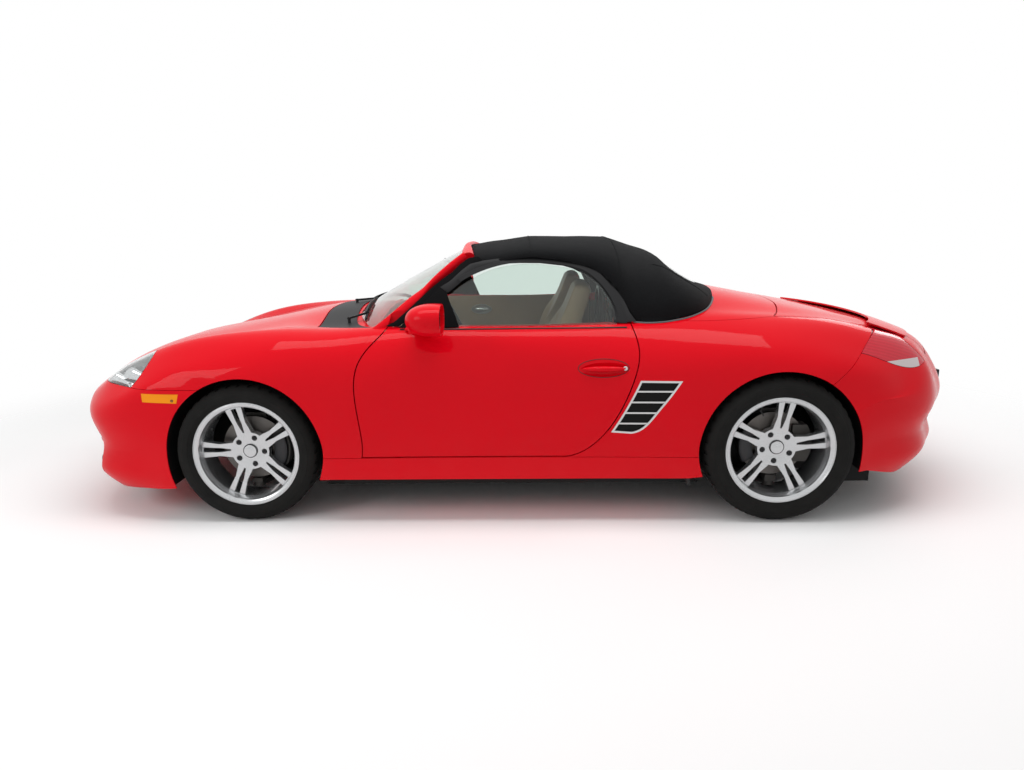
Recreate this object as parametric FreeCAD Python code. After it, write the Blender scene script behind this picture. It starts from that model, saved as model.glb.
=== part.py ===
"""Two-seat mid-engined convertible car with its fabric top up.

Row frame in millimetres: X runs from the nose (negative) to the tail, Y from the left-hand side of the
car (negative, the steering wheel's side) to the right, Z up from the ground. The origin is on the ground
under the middle of the car. Left-hand pieces are modelled and mirrored to make the right-hand ones.
"""
import FreeCAD
import Part
import math
import os
from FreeCAD import Placement, Rotation, Vector

os.makedirs("parts", exist_ok=True)

# Overall sizes
wheelbase = 2415.0
front_overhang = 925.0
rear_overhang = 1002.0
half_width = 900.5
deck_height = 900.0          # belt and cowl level, the scale of the body's heights
base_height = 70.0           # lower end of the body surface, below every hem
sheet = 5.0                  # body panel thickness
lid_thickness = 22.0         # front and rear lids with their inner frames
shut_gap = 5.0               # gap round doors and lids
seam_gap = 2.0               # gap between fixed panels
overrun = 40.0               # how far cutters run past what they cut
fit_gap = 0.4                # clearance where a piece sits in its seat

# Wheels and tyres
front_tyre_radius = 323.0
rear_tyre_radius = 334.0
front_tyre_width = 235.0
rear_tyre_width = 262.0
rim_radius = 246.0
front_track = 1490.0
rear_track = 1530.0
front_arch_radius = 357.0
rear_arch_radius = 362.0
liner_gap = 18.0             # from the arch lip to the liner
liner_thickness = 3.0
front_arch_depth = 465.0     # from the body's side to the inner wall of an arch
rear_arch_depth = 380.0
disc_radius = 149.0
disc_thickness = 24.0
steering_inset = 30.0        # of the steering axis, inboard of the wheel's middle

# Cabin
cabin_half_width = 695.0
door_inner = 703.0           # inner face of a door
door_trim = 14.0
floor_height = 170.0
tray_height = 128.0          # underside of the floor
nose_tray_height = 156.0     # the same ahead of the front wheels
panel_wall = 30.0            # walls of the body shell
glass_thickness = 5.0
cloth_thickness = 7.0
hinge_setback = 90.0         # of a door's hinge axis behind its front edge
hinge_inset = 22.0           # of a door's hinge axis, inboard of the widest line
pillar_width = 52.0
pillar_depth = 34.0

overall_length = wheelbase + front_overhang + rear_overhang
front_axle = front_overhang - overall_length / 2
rear_axle = front_axle + wheelbase
mid_wheelbase = (front_axle + rear_axle) / 2


def up(share):
    """Height of a share of the deck height."""
    return share * deck_height


def out(share):
    """Distance from the middle plane, as a share of the half width."""
    return share * half_width


def ahead(share):
    """X of a share of the front overhang ahead of the front axle."""
    return front_axle - share * front_overhang


def behind(share):
    """X of a share of the rear overhang behind the rear axle."""
    return rear_axle + share * rear_overhang


def along(share):
    """X by half wheelbases: -1 at the front axle, 1 at the rear one."""
    return mid_wheelbase + share * wheelbase / 2


def place(x_share, y_share, z_share):
    """Point on the left-hand side from shares along, out and up."""
    return Vector(along(x_share), -out(y_share), up(z_share))


# Character lines of the body, from the middle plane outwards: middle, inner lid, lid edge, crest foot,
# crest, shoulder, arch lip. Each station has their places along, out and up as shares.
nose_plan_shares = ((1.0, 0.0), (0.992, 0.233), (0.970, 0.444), (0.938, 0.600), (0.857, 0.755),
    (0.716, 0.872), (0.500, 0.935))
nose_profile_shares = ((0.078, 0.150, 0.0), (0.183, 0.052, 1.0), (0.262, 0.0, 1.0), (0.356, 0.034, 1.0),
    (0.456, 0.014, 1.0), (0.550, 0.0, 1.0))
nose_top_shares = (
    ((0.978, 0.0, 0.628), (0.970, 0.233, 0.628), (0.949, 0.444, 0.626), (0.911, 0.600, 0.622),
    (0.824, 0.740, 0.622), (0.689, 0.862, 0.622), (0.484, 0.936, 0.628)),
    ((0.911, 0.0, 0.700), (0.905, 0.233, 0.698), (0.878, 0.440, 0.692), (0.830, 0.589, 0.689),
    (0.754, 0.717, 0.711), (0.613, 0.850, 0.694), (0.435, 0.936, 0.694)),
    ((0.711, 0.0, 0.809), (0.711, 0.244, 0.806), (0.700, 0.456, 0.791), (0.667, 0.600, 0.789),
    (0.603, 0.722, 0.811), (0.500, 0.845, 0.778), (0.316, 0.932, 0.747)),
    ((0.403, 0.0, 0.887), (0.403, 0.250, 0.881), (0.397, 0.467, 0.861), (0.381, 0.611, 0.869),
    (0.354, 0.728, 0.908), (0.273, 0.852, 0.853), (0.176, 0.941, 0.774)),
)
middle_shares = (
    (-1.0, ((0.0, 0.964), (0.256, 0.958), (0.467, 0.939), (0.617, 0.942), (0.733, 0.960),
    (0.861, 0.900), (0.950, 0.783))),
    (-0.704, ((0.0, 1.028), (0.260, 1.017), (0.480, 0.987), (0.640, 0.969), (0.765, 0.964),
    (0.884, 0.900), (0.944, 0.778))),
    (-0.373, ((0.0, 1.033), (0.270, 1.028), (0.500, 1.006), (0.670, 0.989), (0.800, 0.983),
    (0.889, 0.919), (0.942, 0.789))),
    (0.0, ((0.0, 1.033), (0.270, 1.028), (0.500, 1.006), (0.670, 0.989), (0.805, 0.983), (0.894, 0.928),
    (0.939, 0.800))),
    (0.373, ((0.0, 1.056), (0.270, 1.050), (0.500, 1.028), (0.660, 1.006), (0.794, 0.992),
    (0.894, 0.922), (0.948, 0.800))),
    (0.704, ((0.0, 1.122), (0.260, 1.117), (0.480, 1.083), (0.640, 1.039), (0.755, 1.006),
    (0.889, 0.917), (0.964, 0.794))),
    (1.0, ((0.0, 1.072), (0.250, 1.067), (0.467, 1.044), (0.617, 1.017), (0.733, 1.000), (0.889, 0.911),
    (0.976, 0.800))),
)
tail_top_shares = (
    ((0.292, 0.0, 1.006), (0.292, 0.244, 1.003), (0.292, 0.467, 0.997), (0.282, 0.611, 0.987),
    (0.267, 0.728, 0.973), (0.212, 0.861, 0.894), (0.162, 0.969, 0.789)),
    ((0.591, 0.0, 0.936), (0.586, 0.244, 0.936), (0.566, 0.456, 0.931), (0.536, 0.600, 0.920),
    (0.491, 0.717, 0.914), (0.412, 0.850, 0.828), (0.322, 0.950, 0.739)),
    ((0.821, 0.0, 0.861), (0.811, 0.239, 0.861), (0.771, 0.444, 0.858), (0.711, 0.589, 0.850),
    (0.636, 0.711, 0.839), (0.541, 0.839, 0.739), (0.402, 0.939, 0.667)),
    ((0.921, 0.0, 0.756), (0.911, 0.239, 0.756), (0.866, 0.444, 0.750), (0.791, 0.589, 0.739),
    (0.721, 0.728, 0.733), (0.581, 0.858, 0.650), (0.422, 0.944, 0.611)),
)
tail_plan_shares = ((1.0, 0.0), (0.986, 0.233), (0.936, 0.444), (0.846, 0.600), (0.746, 0.756),
    (0.591, 0.872), (0.422, 0.944))
tail_profile_shares = ((0.600, 0.0, 1.0), (0.500, 0.008, 1.0), (0.394, 0.036, 1.0), (0.311, 0.020, 1.0),
    (0.211, 0.080, 1.0), (0.078, 0.160, 0.0))
ridge_fade_shares = (1.0, 1.0, 1.0, 1.0, 0.9, 0.6, 0.25)      # how far the lip and recess reach round

# Side lines below the arch lip: widest, lower door, tuck above the sill, sill, base. Heights, and how
# far out they are at the middle stations.
side_height_shares = (0.578, 0.467, 0.350, 0.267)
side_out_shares = (
    (0.970, 0.968, 0.958, 0.950, 0.930),
    (0.962, 0.958, 0.946, 0.958, 0.930),
    (0.956, 0.951, 0.939, 0.957, 0.930),
    (0.953, 0.949, 0.937, 0.957, 0.930),
    (0.962, 0.958, 0.945, 0.960, 0.935),
    (0.983, 0.979, 0.964, 0.970, 0.945),
    (1.000, 0.997, 0.985, 0.975, 0.950),
)
fan_share = 0.68             # width over height of the fan of side lines inside a wheel arch

# Lower edge of the body, along and up
hem_shares = ((-2.153, 0.139), (-1.615, 0.133), (-1.267, 0.191), (-0.994, 0.191), (-0.745, 0.228),
    (-0.654, 0.231), (0.663, 0.231), (0.787, 0.247), (1.242, 0.267), (1.325, 0.262), (1.491, 0.194),
    (2.153, 0.194))

# Outlines of the panels on the side, along and up, as runs that meet end to end
door_runs_shares = (
    ((-0.465, 1.111), (-0.465, 0.974), (-0.513, 0.906), (-0.557, 0.822), (-0.571, 0.622), (-0.561, 0.338)),
    ((-0.561, 0.338), (0.190, 0.338)),
    ((0.190, 0.338), (0.261, 0.356), (0.348, 0.450), (0.423, 0.611), (0.464, 0.756), (0.478, 0.873),
    (0.455, 1.000), (0.439, 1.111)),
    ((0.439, 1.111), (-0.465, 1.111)),
)
window_runs_shares = (
    ((-0.464, 0.889), (-0.377, 0.964), (-0.267, 1.091), (-0.148, 1.209), (-0.033, 1.269),
    (0.081, 1.284), (0.195, 1.269), (0.290, 1.233), (0.347, 1.167), (0.386, 1.083), (0.403, 0.962),
    (0.406, 0.889)),
    ((0.406, 0.889), (-0.464, 0.889)),
)
rail_runs_shares = (
    ((-0.195, 1.217), (-0.147, 1.253), (-0.032, 1.300), (0.081, 1.319), (0.203, 1.309), (0.308, 1.269),
    (0.374, 1.191), (0.421, 1.089), (0.443, 0.958)),
    ((0.443, 0.958), (0.414, 0.958)),
    ((0.414, 0.958), (0.393, 1.089), (0.352, 1.174), (0.292, 1.244), (0.199, 1.280), (0.081, 1.294),
    (-0.033, 1.279), (-0.145, 1.228), (-0.182, 1.202)),
    ((-0.182, 1.202), (-0.195, 1.217)),
)
front_seam_share = 0.700     # top of the front bumper
tail_seam_runs_shares = (
    ((1.077, 0.611), (1.294, 0.839), (1.458, 1.006)),
    ((1.458, 1.006), (2.153, 1.006)),
    ((2.153, 1.006), (2.153, 0.000)),
    ((2.153, 0.000), (1.077, 0.000)),
    ((1.077, 0.000), (1.077, 0.611)),
)
tail_lamp_runs_shares = (
    ((1.294, 0.839), (1.342, 0.889), (1.406, 0.931), (1.458, 0.928), (1.516, 0.878), (1.565, 0.817),
    (1.598, 0.767)),
    ((1.598, 0.767), (1.540, 0.747), (1.424, 0.778), (1.294, 0.839)),
)
sill_seam_share = 0.338      # top of the sill cover
intake_runs_shares = (
    ((0.479, 0.731), (0.631, 0.729)),
    ((0.631, 0.729), (0.593, 0.654), (0.538, 0.556), (0.489, 0.483), (0.451, 0.462)),
    ((0.451, 0.462), (0.374, 0.469)),
    ((0.374, 0.469), (0.427, 0.589), (0.479, 0.731)),
)
marker_runs_shares = (
    ((-1.375, 0.679), (-1.226, 0.679)),
    ((-1.226, 0.679), (-1.234, 0.633)),
    ((-1.234, 0.633), (-1.371, 0.636)),
    ((-1.371, 0.636), (-1.375, 0.679)),
)

# Outlines of the panels on top, along and out, from the middle plane outwards
hood_half_shares = ((-2.029, 0.533), (-1.698, 0.539), (-1.491, 0.572), (-1.201, 0.622), (-0.911, 0.655),
    (-0.749, 0.666))
hood_rear_shares = ((-0.749, 0.666), (-0.766, 0.444), (-0.783, 0.222), (-0.787, 0.000))
cowl_rear_shares = ((-0.522, 0.766), (-0.580, 0.666), (-0.634, 0.389), (-0.654, 0.000))
lamp_ring_shares = ((-1.694, 0.633), (-1.636, 0.733), (-1.545, 0.838), (-1.462, 0.888), (-1.400, 0.855),
    (-1.371, 0.766), (-1.391, 0.677), (-1.466, 0.622), (-1.573, 0.589), (-1.665, 0.577))
cover_front_shares = ((0.464, 0.766), (0.580, 0.738), (0.687, 0.666), (0.770, 0.522), (0.828, 0.278),
    (0.853, 0.000))
cover_side_shares = ((0.464, 0.766), (0.663, 0.777), (0.828, 0.766), (1.006, 0.711))
cover_rear_shares = ((1.006, 0.711), (1.068, 0.500), (1.106, 0.244), (1.118, 0.000))
lid_side_shares = ((1.006, 0.711), (1.201, 0.683), (1.408, 0.622), (1.532, 0.577), (1.673, 0.527))
lid_rear_shares = ((1.673, 0.527), (1.723, 0.278), (1.739, 0.000))

# Windscreen, roof and side glass, along, out and up
screen_rows_shares = (
    ((-0.654, 0.000, 1.017), (-0.636, 0.278, 1.009), (-0.598, 0.511, 0.994), (-0.530, 0.711, 0.964)),
    ((-0.422, 0.000, 1.198), (-0.410, 0.267, 1.191), (-0.378, 0.489, 1.173), (-0.327, 0.651, 1.144)),
    ((-0.204, 0.000, 1.347), (-0.198, 0.244, 1.343), (-0.186, 0.444, 1.331), (-0.169, 0.591, 1.313)),
)
pillar_shares = ((-0.580, 0.802, 0.889), (-0.476, 0.771, 0.982), (-0.306, 0.691, 1.172),
    (-0.166, 0.617, 1.320))
header_shares = ((-0.156, 0.611, 1.324), (-0.170, 0.444, 1.342), (-0.184, 0.222, 1.353),
    (-0.189, 0.000, 1.357))
roof_edge_shares = ((-0.137, 0.633, 1.278), (-0.066, 0.673, 1.292), (0.025, 0.686, 1.311),
    (0.124, 0.691, 1.313), (0.215, 0.695, 1.298), (0.315, 0.708, 1.258), (0.389, 0.735, 1.178),
    (0.435, 0.764, 1.083), (0.480, 0.791, 0.991), (0.613, 0.777, 1.002), (0.729, 0.694, 1.029),
    (0.803, 0.522, 1.061), (0.845, 0.300, 1.094))
roof_spine_shares = ((-0.184, 1.364), (-0.099, 1.384), (0.000, 1.400), (0.099, 1.409), (0.199, 1.412),
    (0.298, 1.411), (0.381, 1.402), (0.464, 1.381), (0.538, 1.349), (0.609, 1.296), (0.687, 1.217),
    (0.770, 1.156), (0.857, 1.116))
roof_arc_shares = (0.0, 0.12, 0.28, 0.46, 0.64, 0.82, 1.0)
side_glass_shares = ((0.831, 0.822), (0.816, 0.956), (0.777, 1.089), (0.727, 1.211), (0.666, 1.333))
rear_window_shares = ((0.617, 0.000), (0.617, 0.222), (0.619, 0.400), (0.642, 0.472), (0.696, 0.478),
    (0.745, 0.428), (0.766, 0.311), (0.778, 0.133), (0.781, 0.000), (0.778, -0.133), (0.766, -0.311),
    (0.745, -0.428), (0.696, -0.478), (0.642, -0.472), (0.619, -0.400), (0.617, -0.222))
wiper_root_shares = ((-0.642, 0.577, 0.978), (-0.704, 0.022, 1.020))
wiper_knee_shares = ((-0.585, 0.511, 1.021), (-0.639, -0.067, 1.044))
wiper_near_shares = ((-0.575, 0.577), (-0.621, -0.111))
wiper_far_shares = ((-0.619, -0.011), (-0.542, -0.605))

# Working values
sliver_share = 0.002
outline_points = 16

# Headlamps and front openings
lamp_depth = 95.0
lamp_wall = 6.0
projector_radius = 34.0
projector_length = 120.0
projector_aim = Vector(-0.86, -0.15, 0.49)
projector_shares = ((-1.578, 0.686, 0.711), (-1.482, 0.766, 0.750))
opening_rear = ahead(0.80)
slat_setback = 16.0
slat_plate = 4.0
slat_height_shares = (0.215, 0.262, 0.309, 0.356)
side_opening_shares = ((0.872, 0.261), (0.850, 0.383), (0.522, 0.383), (0.478, 0.228), (0.822, 0.217))
middle_opening_shares = ((-0.400, 0.211), (0.400, 0.211), (0.366, 0.317), (-0.366, 0.317))
light_shares = ((0.861, 0.402), (0.850, 0.428), (0.533, 0.428), (0.533, 0.402))

# Outlet, lid edges and panel sides
rise = Vector(0, 0, 2 * deck_height)
outlet_half_width = 104.0
outlet_low = 188.0
outlet_high = 298.0
outlet_round = 46.0
low_lid_share = 0.62
lid_low_share = 0.76
marker_inner_share = 0.85
tail_lamp_inner_share = 0.60
cabin_side_shares = ((-0.522, 0.766), (-0.464, 0.777), (-0.248, 0.784), (0.000, 0.784), (0.248, 0.782),
    (0.464, 0.766))
cowl_side_shares = ((-0.749, 0.666), (-0.663, 0.711), (-0.522, 0.766))

# Cabin and door hinges
cabin_share = (-0.515, 0.400)
hinge_height_shares = (0.46, 0.68)
hinge_pin = 5.0
hinge_barrel = 8.5
hinge_leaf = 26.0
running_gap = 0.05
door_wide_share = 0.956
hinge_pocket = 22.0          # free space behind the hinge axis inside the door

# Door edge and handle
door_step = 9.0               # how much smaller the door's inner part is, so that it swings clear
handle_place_shares = (0.346, 0.955, 0.790)
handle_length = 190.0
handle_height = 24.0
handle_recess = 16.0

# Soft top
roof_rise_power = 0.85
roof_side_power = 0.80
roof_wrap_power = 1.20

# Wheels and tyres
tyre_half_shares = ((0.0, 0.390), (0.120, 0.390), (0.135, 0.450), (0.26, 0.484), (0.45, 0.500),
    (0.66, 0.484), (0.82, 0.446), (0.93, 0.394), (0.985, 0.320), (1.0, 0.20))
spoke_count = 5
bolt_circle = 130.0
rim_edge = 9.0
bead_gap = 0.2
rim_wall = 7.0
hub_radius = 88.0
cap_radius = 32.0
spoke_half_width = 46.0
spoke_slot_half = 11.0
spoke_depth = 24.0
wheel_face = 34.0            # spokes' face inside the rim's outer edge at the rim
hub_dish = 20.0              # how much deeper the hub's face lies
wheel_phase = {"front": 105.0, "rear": 82.0}
bolt_hole = 13.0

# Running gear
arm_height = 130.0
arm_thickness = 20.0
arm_bar = 34.0
running_clear = 4.0
spring_radius = 42.0
spring_inset = 52.0          # of a spring's axis from the inner wall

# Seats
seat_x_share = -0.070
seat_y_share = 0.400
seat_width = 470.0
seat_round = 38.0
cushion_length = 500.0
cushion_height = 120.0
cushion_top_share = 0.47
back_height = 560.0
back_thickness = 120.0
back_lean = 20.0
headrest_height = 190.0

# Dashboard and steering wheel
dash_round = 40.0
wheel_rim = 185.0
wheel_grip = 15.0
wheel_tilt = 24.0
wheel_x_share = -0.215
wheel_z_share = 0.870
column_length = 344.5
column_share = 0.30

# Roll hoops
hoop_tube = 20.0
hoop_rise = 262.0
hoop_half = 130.0

# Mirrors
mirror_length = 150.0
mirror_height = 138.0
mirror_width = 205.0
mirror_shares = ((-0.273, 1.005, 1.044),)
mirror_foot_shares = ((-0.356, 0.842, 0.970),)
mirror_section_shares = ((0.0, 0.16), (0.03, 0.34), (0.12, 0.60), (0.28, 0.82), (0.50, 0.96),
    (0.75, 1.0), (1.0, 0.97))
mirror_ring_points = 16
mirror_square = 0.86

# Spoiler
spoiler_shares = ((1.540, 0.639, 0.889), (1.586, 0.533, 0.887), (1.644, 0.311, 0.883),
    (1.665, 0.000, 0.882))
spoiler_chord = 190.0
spoiler_thickness = 8.0

# Side intakes
intake_frame = 9.0
intake_depth = 5.0
intake_bar = 7.0
intake_bars = 4

# Wipers
blade_height = 9.0
blade_width = 12.0
arm_width = 14.0

# Exhaust hangers
hanger_half = 14.0


def inward(plan, at, sign):
    """Unit vector into the car, square to a plan curve given as (along, out) shares."""
    before, after = plan[max(at - 1, 0)], plan[min(at + 1, len(plan) - 1)]
    if at == 0:
        return Vector(sign, 0, 0)
    run = (after[0] - before[0]) * front_overhang
    rise = (after[1] - before[1]) * half_width
    length = math.hypot(run, rise)
    return Vector(sign * rise / length, run / length, 0)


def end_block(plan, profile, station, sign, overhang):
    """Stations of a bumper: the plan curve set back and raised by a vertical profile."""
    rows = []
    for height, setback, fades in profile:
        row = []
        for k, (reach, aside) in enumerate(plan):
            weight = ridge_fade_shares[k] if fades else 1.0
            point = Vector(station(reach), out(aside), up(height))
            row.append(point + inward(plan, k, sign) * (setback * weight * overhang))
        rows.append(row)
    return rows


def fan(axle, sign, turn, outs):
    """Side lines turned inside a wheel arch by a share of a quarter circle."""
    angle = math.pi / 2 * turn
    row = []
    for height, outer in zip(side_height_shares, outs):
        radius = up(height) - base_height
        x = axle + sign * fan_share * radius * math.sin(angle)
        row.append(Vector(x, out(outer), base_height + radius * math.cos(angle)))
    last = (up(side_height_shares[-1]) - base_height) / 2
    row.append(Vector(axle + sign * fan_share * last * math.sin(angle), out(outs[-1]), base_height))
    return row


def body_stations():
    """Points of every station, from the front base to the rear base, middle plane outwards."""
    nose = end_block(nose_plan_shares, nose_profile_shares, ahead, 1, front_overhang)
    nose += [[Vector(ahead(a), out(b), up(c)) for a, b, c in row] for row in nose_top_shares]
    tail = [[Vector(behind(a), out(b), up(c)) for a, b, c in row] for row in tail_top_shares]
    tail += end_block(tail_plan_shares, tail_profile_shares, behind, -1, rear_overhang)
    rows = []
    for at, row in enumerate(nose):
        rows.append(row + fan(front_axle, -1, 1 - at / len(nose), side_out_shares[0]))
    for (reach, points), outs in zip(middle_shares, side_out_shares):
        row = [Vector(along(reach), out(b), up(c)) for b, c in points]
        heights = [up(h) for h in side_height_shares] + [base_height]
        rows.append(row + [Vector(along(reach), out(o), h) for o, h in zip(outs, heights)])
    for at, row in enumerate(tail):
        rows.append(row + fan(rear_axle, 1, (at + 1) / len(tail), side_out_shares[-1]))
    for row in (rows[0], rows[-1]):
        for point in row:
            point.z = base_height
    return [[Vector(p.x, -p.y, p.z) for p in reversed(row[1:])] + row for row in rows]


def chord_steps(rows):
    """Parameters along the rows, by their points' mean distances."""
    steps = [sum((row[j + 1] - row[j]).Length for row in rows) for j in range(len(rows[0]) - 1)]
    values = [0.0]
    for step in steps:
        values.append(values[-1] + step / sum(steps))
    return values


def spline_through(points, steps):
    curve = Part.BSplineCurve()
    curve.interpolate(Points=points, Parameters=steps)
    return curve


def surface_through(rows):
    """Smooth surface through a grid of points, evened by the distances between them."""
    across = chord_steps(rows)
    lengthwise = chord_steps([list(column) for column in zip(*rows)])
    sections = [spline_through(row, across) for row in rows]
    columns = [spline_through(list(c), lengthwise) for c in zip(*[s.getPoles() for s in sections])]
    net = [list(row) for row in zip(*[column.getPoles() for column in columns])]
    first, lane = sections[0], columns[0]
    surface = Part.BSplineSurface()
    surface.buildFromPolesMultsKnots(
        net, lane.getMultiplicities(), first.getMultiplicities(), lane.getKnots(), first.getKnots(),
        False, False, lane.Degree, first.Degree)
    return surface


def closed(faces):
    """Solid bounded by faces that meet edge to edge."""
    skin = Part.Compound(faces)
    skin.sewShape()
    solid = Part.Solid(Part.Shell(skin.Faces))
    if solid.Volume < 0:
        solid.reverse()
    return solid


def solid_under(surface):
    """Closes a surface whose whole edge lies in one level plane."""
    face = surface.toShape()
    floor = Part.Face(Part.Wire(Part.__sortEdges__(face.Edges)))
    return closed([face, floor])


def offset_rows(rows, distance, towards):
    """A grid's points moved along its surface's normals, to the side that faces a point."""
    surface = surface_through(rows)
    across = chord_steps(rows)
    lengthwise = chord_steps([list(column) for column in zip(*rows)])
    moved = []
    for row, u in zip(rows, lengthwise):
        new = []
        for point, v in zip(row, across):
            normal = surface.normal(u, v)
            if normal.dot(towards(point) - point) < 0:
                normal = -normal
            new.append(point + normal * distance)
        moved.append(new)
    return moved


def heart(point):
    """The place inside the body that a point of its surface looks to."""
    return Vector(point.x * 0.6, 0, deck_height / 2)


def shrunk_body(rows, distance):
    """The body's solid with every face moved inwards; its base drops so that it cuts right through."""
    moved = offset_rows(rows, distance, heart)
    last = len(moved) - 1
    for i, row in enumerate(moved):
        for j, point in enumerate(row):
            if i in (0, last) or j in (0, len(row) - 1):
                point.z = base_height - distance
    return solid_under(surface_through(moved))


def thick_patch(rows, thickness, towards):
    """Shell of even thickness on the inner side of a surface through a grid."""
    outer = surface_through(rows)
    inner = surface_through(offset_rows(rows, thickness, towards))
    top, bottom = outer.toShape(), inner.toShape()
    sides = [Part.makeRuledSurface(a, b) for a, b in zip(patch_edges(outer), patch_edges(inner))]
    return closed([top, bottom] + sides)


def grown_patch(rows, thickness, towards):
    """The same shell with a little clearance on both sides."""
    outside = offset_rows(rows, -3 * fit_gap, towards)
    return thick_patch(outside, thickness + 6 * fit_gap, towards)


def patch_edges(surface):
    u0, u1, v0, v1 = surface.bounds()
    lines = (surface.vIso(v0), surface.uIso(u1), surface.vIso(v1), surface.uIso(u0))
    return [line.toShape() for line in lines]


def box(x0, x1, y0, y1, z0, z1):
    return Part.makeBox(x1 - x0, y1 - y0, z1 - z0, Vector(x0, y0, z0))


def drum(x, y0, y1, z, radius):
    """Cylinder across the car."""
    return Part.makeCylinder(radius, y1 - y0, Vector(x, y0, z), Vector(0, 1, 0))


def mirrored(shape):
    return shape.mirror(Vector(0, 0, 0), Vector(0, 1, 0))


def both(shape):
    return [shape, mirrored(shape)]


def cut_each(shape, cutters):
    for cutter in cutters:
        shape = shape.cut(cutter)
    return shape


def raised(shape, height):
    lifted = shape.copy()
    lifted.translate(Vector(0, 0, height))
    return lifted


def joined(shapes):
    """One shape out of pieces that touch or overlap."""
    whole = shapes[0].fuse(shapes[1:])
    return whole.removeSplitter()


def pieces(shape):
    """A compound's solids, largest first, without slivers."""
    solids = sorted(shape.Solids, key=lambda s: -s.Volume)
    if not solids:
        return []
    return [s for s in solids if s.Volume > solids[0].Volume * sliver_share]


def save(name, *shapes):
    solids = [solid for shape in shapes for solid in pieces(shape)]
    if not solids:
        print(name, "EMPTY")
        return
    whole = solids[0] if len(solids) == 1 else Part.Compound(solids)
    whole.exportStep("parts/" + name + ".step")
    print(name, len(solids), "valid" if whole.isValid() else "INVALID", round(whole.Volume / 1e6, 2))


def drawn(runs, spot):
    """Closed wire through runs of points that meet end to end."""
    edges = []
    for run in runs:
        points = [spot(*pair) for pair in run]
        if len(points) == 2:
            edges.append(Part.LineSegment(*points).toShape())
        else:
            curve = Part.BSplineCurve()
            curve.interpolate(points)
            edges.append(curve.toShape())
    return Part.Wire(edges)


def smoothed(edge):
    """The same edge as a plain spline."""
    if edge.Curve.TypeId in ("Part::GeomLine", "Part::GeomCircle"):
        return edge
    curve = Part.BSplineCurve()
    curve.interpolate(edge.discretize(Number=outline_points))
    return curve.toShape()


def prism(wire, reach, grow=0.0):
    face = Part.Face(wire)
    if grow:
        grown = face.makeOffset2D(grow)
        face = Part.Face(Part.Wire([smoothed(edge) for edge in grown.OuterWire.OrderedEdges]))
    return face.extrude(reach)


def side_prism(runs, inner=0.0, grow=0.0):
    """Cutter through the left-hand side, from a distance off the middle plane outwards."""
    wire = drawn(runs, lambda x, z: Vector(along(x), -inner, up(z)))
    return prism(wire, Vector(0, inner - half_width - overrun, 0), grow)


def cross_prism(runs, grow=0.0):
    """Cutter through both sides."""
    wire = drawn(runs, lambda x, z: Vector(along(x), half_width + overrun, up(z)))
    return prism(wire, Vector(0, -2 * (half_width + overrun), 0), grow)


def plan_prism(runs, grow=0.0, low=0.0):
    wire = drawn(runs, lambda x, y: Vector(along(x), out(y), low))
    return prism(wire, Vector(0, 0, 2 * deck_height), grow)


def across(run):
    """A run that ends on the middle plane, carried on to the other side."""
    return tuple((x, -y) for x, y in run) + tuple((x, y) for x, y in reversed(run[:-1]))


def panel_outline(side, rear, front=None):
    """Runs round a centre panel: its front edge straight across unless one is given."""
    left = tuple((x, -y) for x, y in side)
    right = tuple(reversed(side))
    start = across(front) if front else ((side[0][0], side[0][1]), (side[0][0], -side[0][1]))
    head = tuple(reversed(start)) if front else start
    return (head, left, across(rear), right)


# Body and its panels
def arch(axle, tyre_radius, radius, inner):
    """Wheel opening on both sides, from a distance off the middle plane outwards."""
    left = drum(axle, -half_width - overrun, -inner, tyre_radius, radius)
    return joined([left, mirrored(left)])


def hem_cutter(rise=0.0):
    points = [Vector(along(x), half_width + overrun, up(z) + rise) for x, z in hem_shares]
    points += [Vector(points[-1].x, points[-1].y, -overrun), Vector(points[0].x, points[0].y, -overrun)]
    wire = Part.makePolygon(points + [points[0]])
    return Part.Face(wire).extrude(Vector(0, -2 * (half_width + overrun), 0))


def front_region(shift=0.0):
    """Everything below the bumper's top seam, ahead of the front wheels' middle."""
    return box(2 * ahead(1), front_axle, -half_width - overrun, half_width + overrun, 0,
               up(front_seam_share) + shift)


def below(share, shift=0.0):
    return box(front_axle, rear_axle, -half_width - overrun, half_width + overrun, 0, up(share) + shift)


def above(share):
    reach = overall_length
    return box(-reach, reach, -half_width - overrun, half_width + overrun, up(share), 3 * deck_height)


def left_half():
    return box(-overall_length, overall_length, -half_width - overrun, 0, 0, 3 * deck_height)


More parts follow.
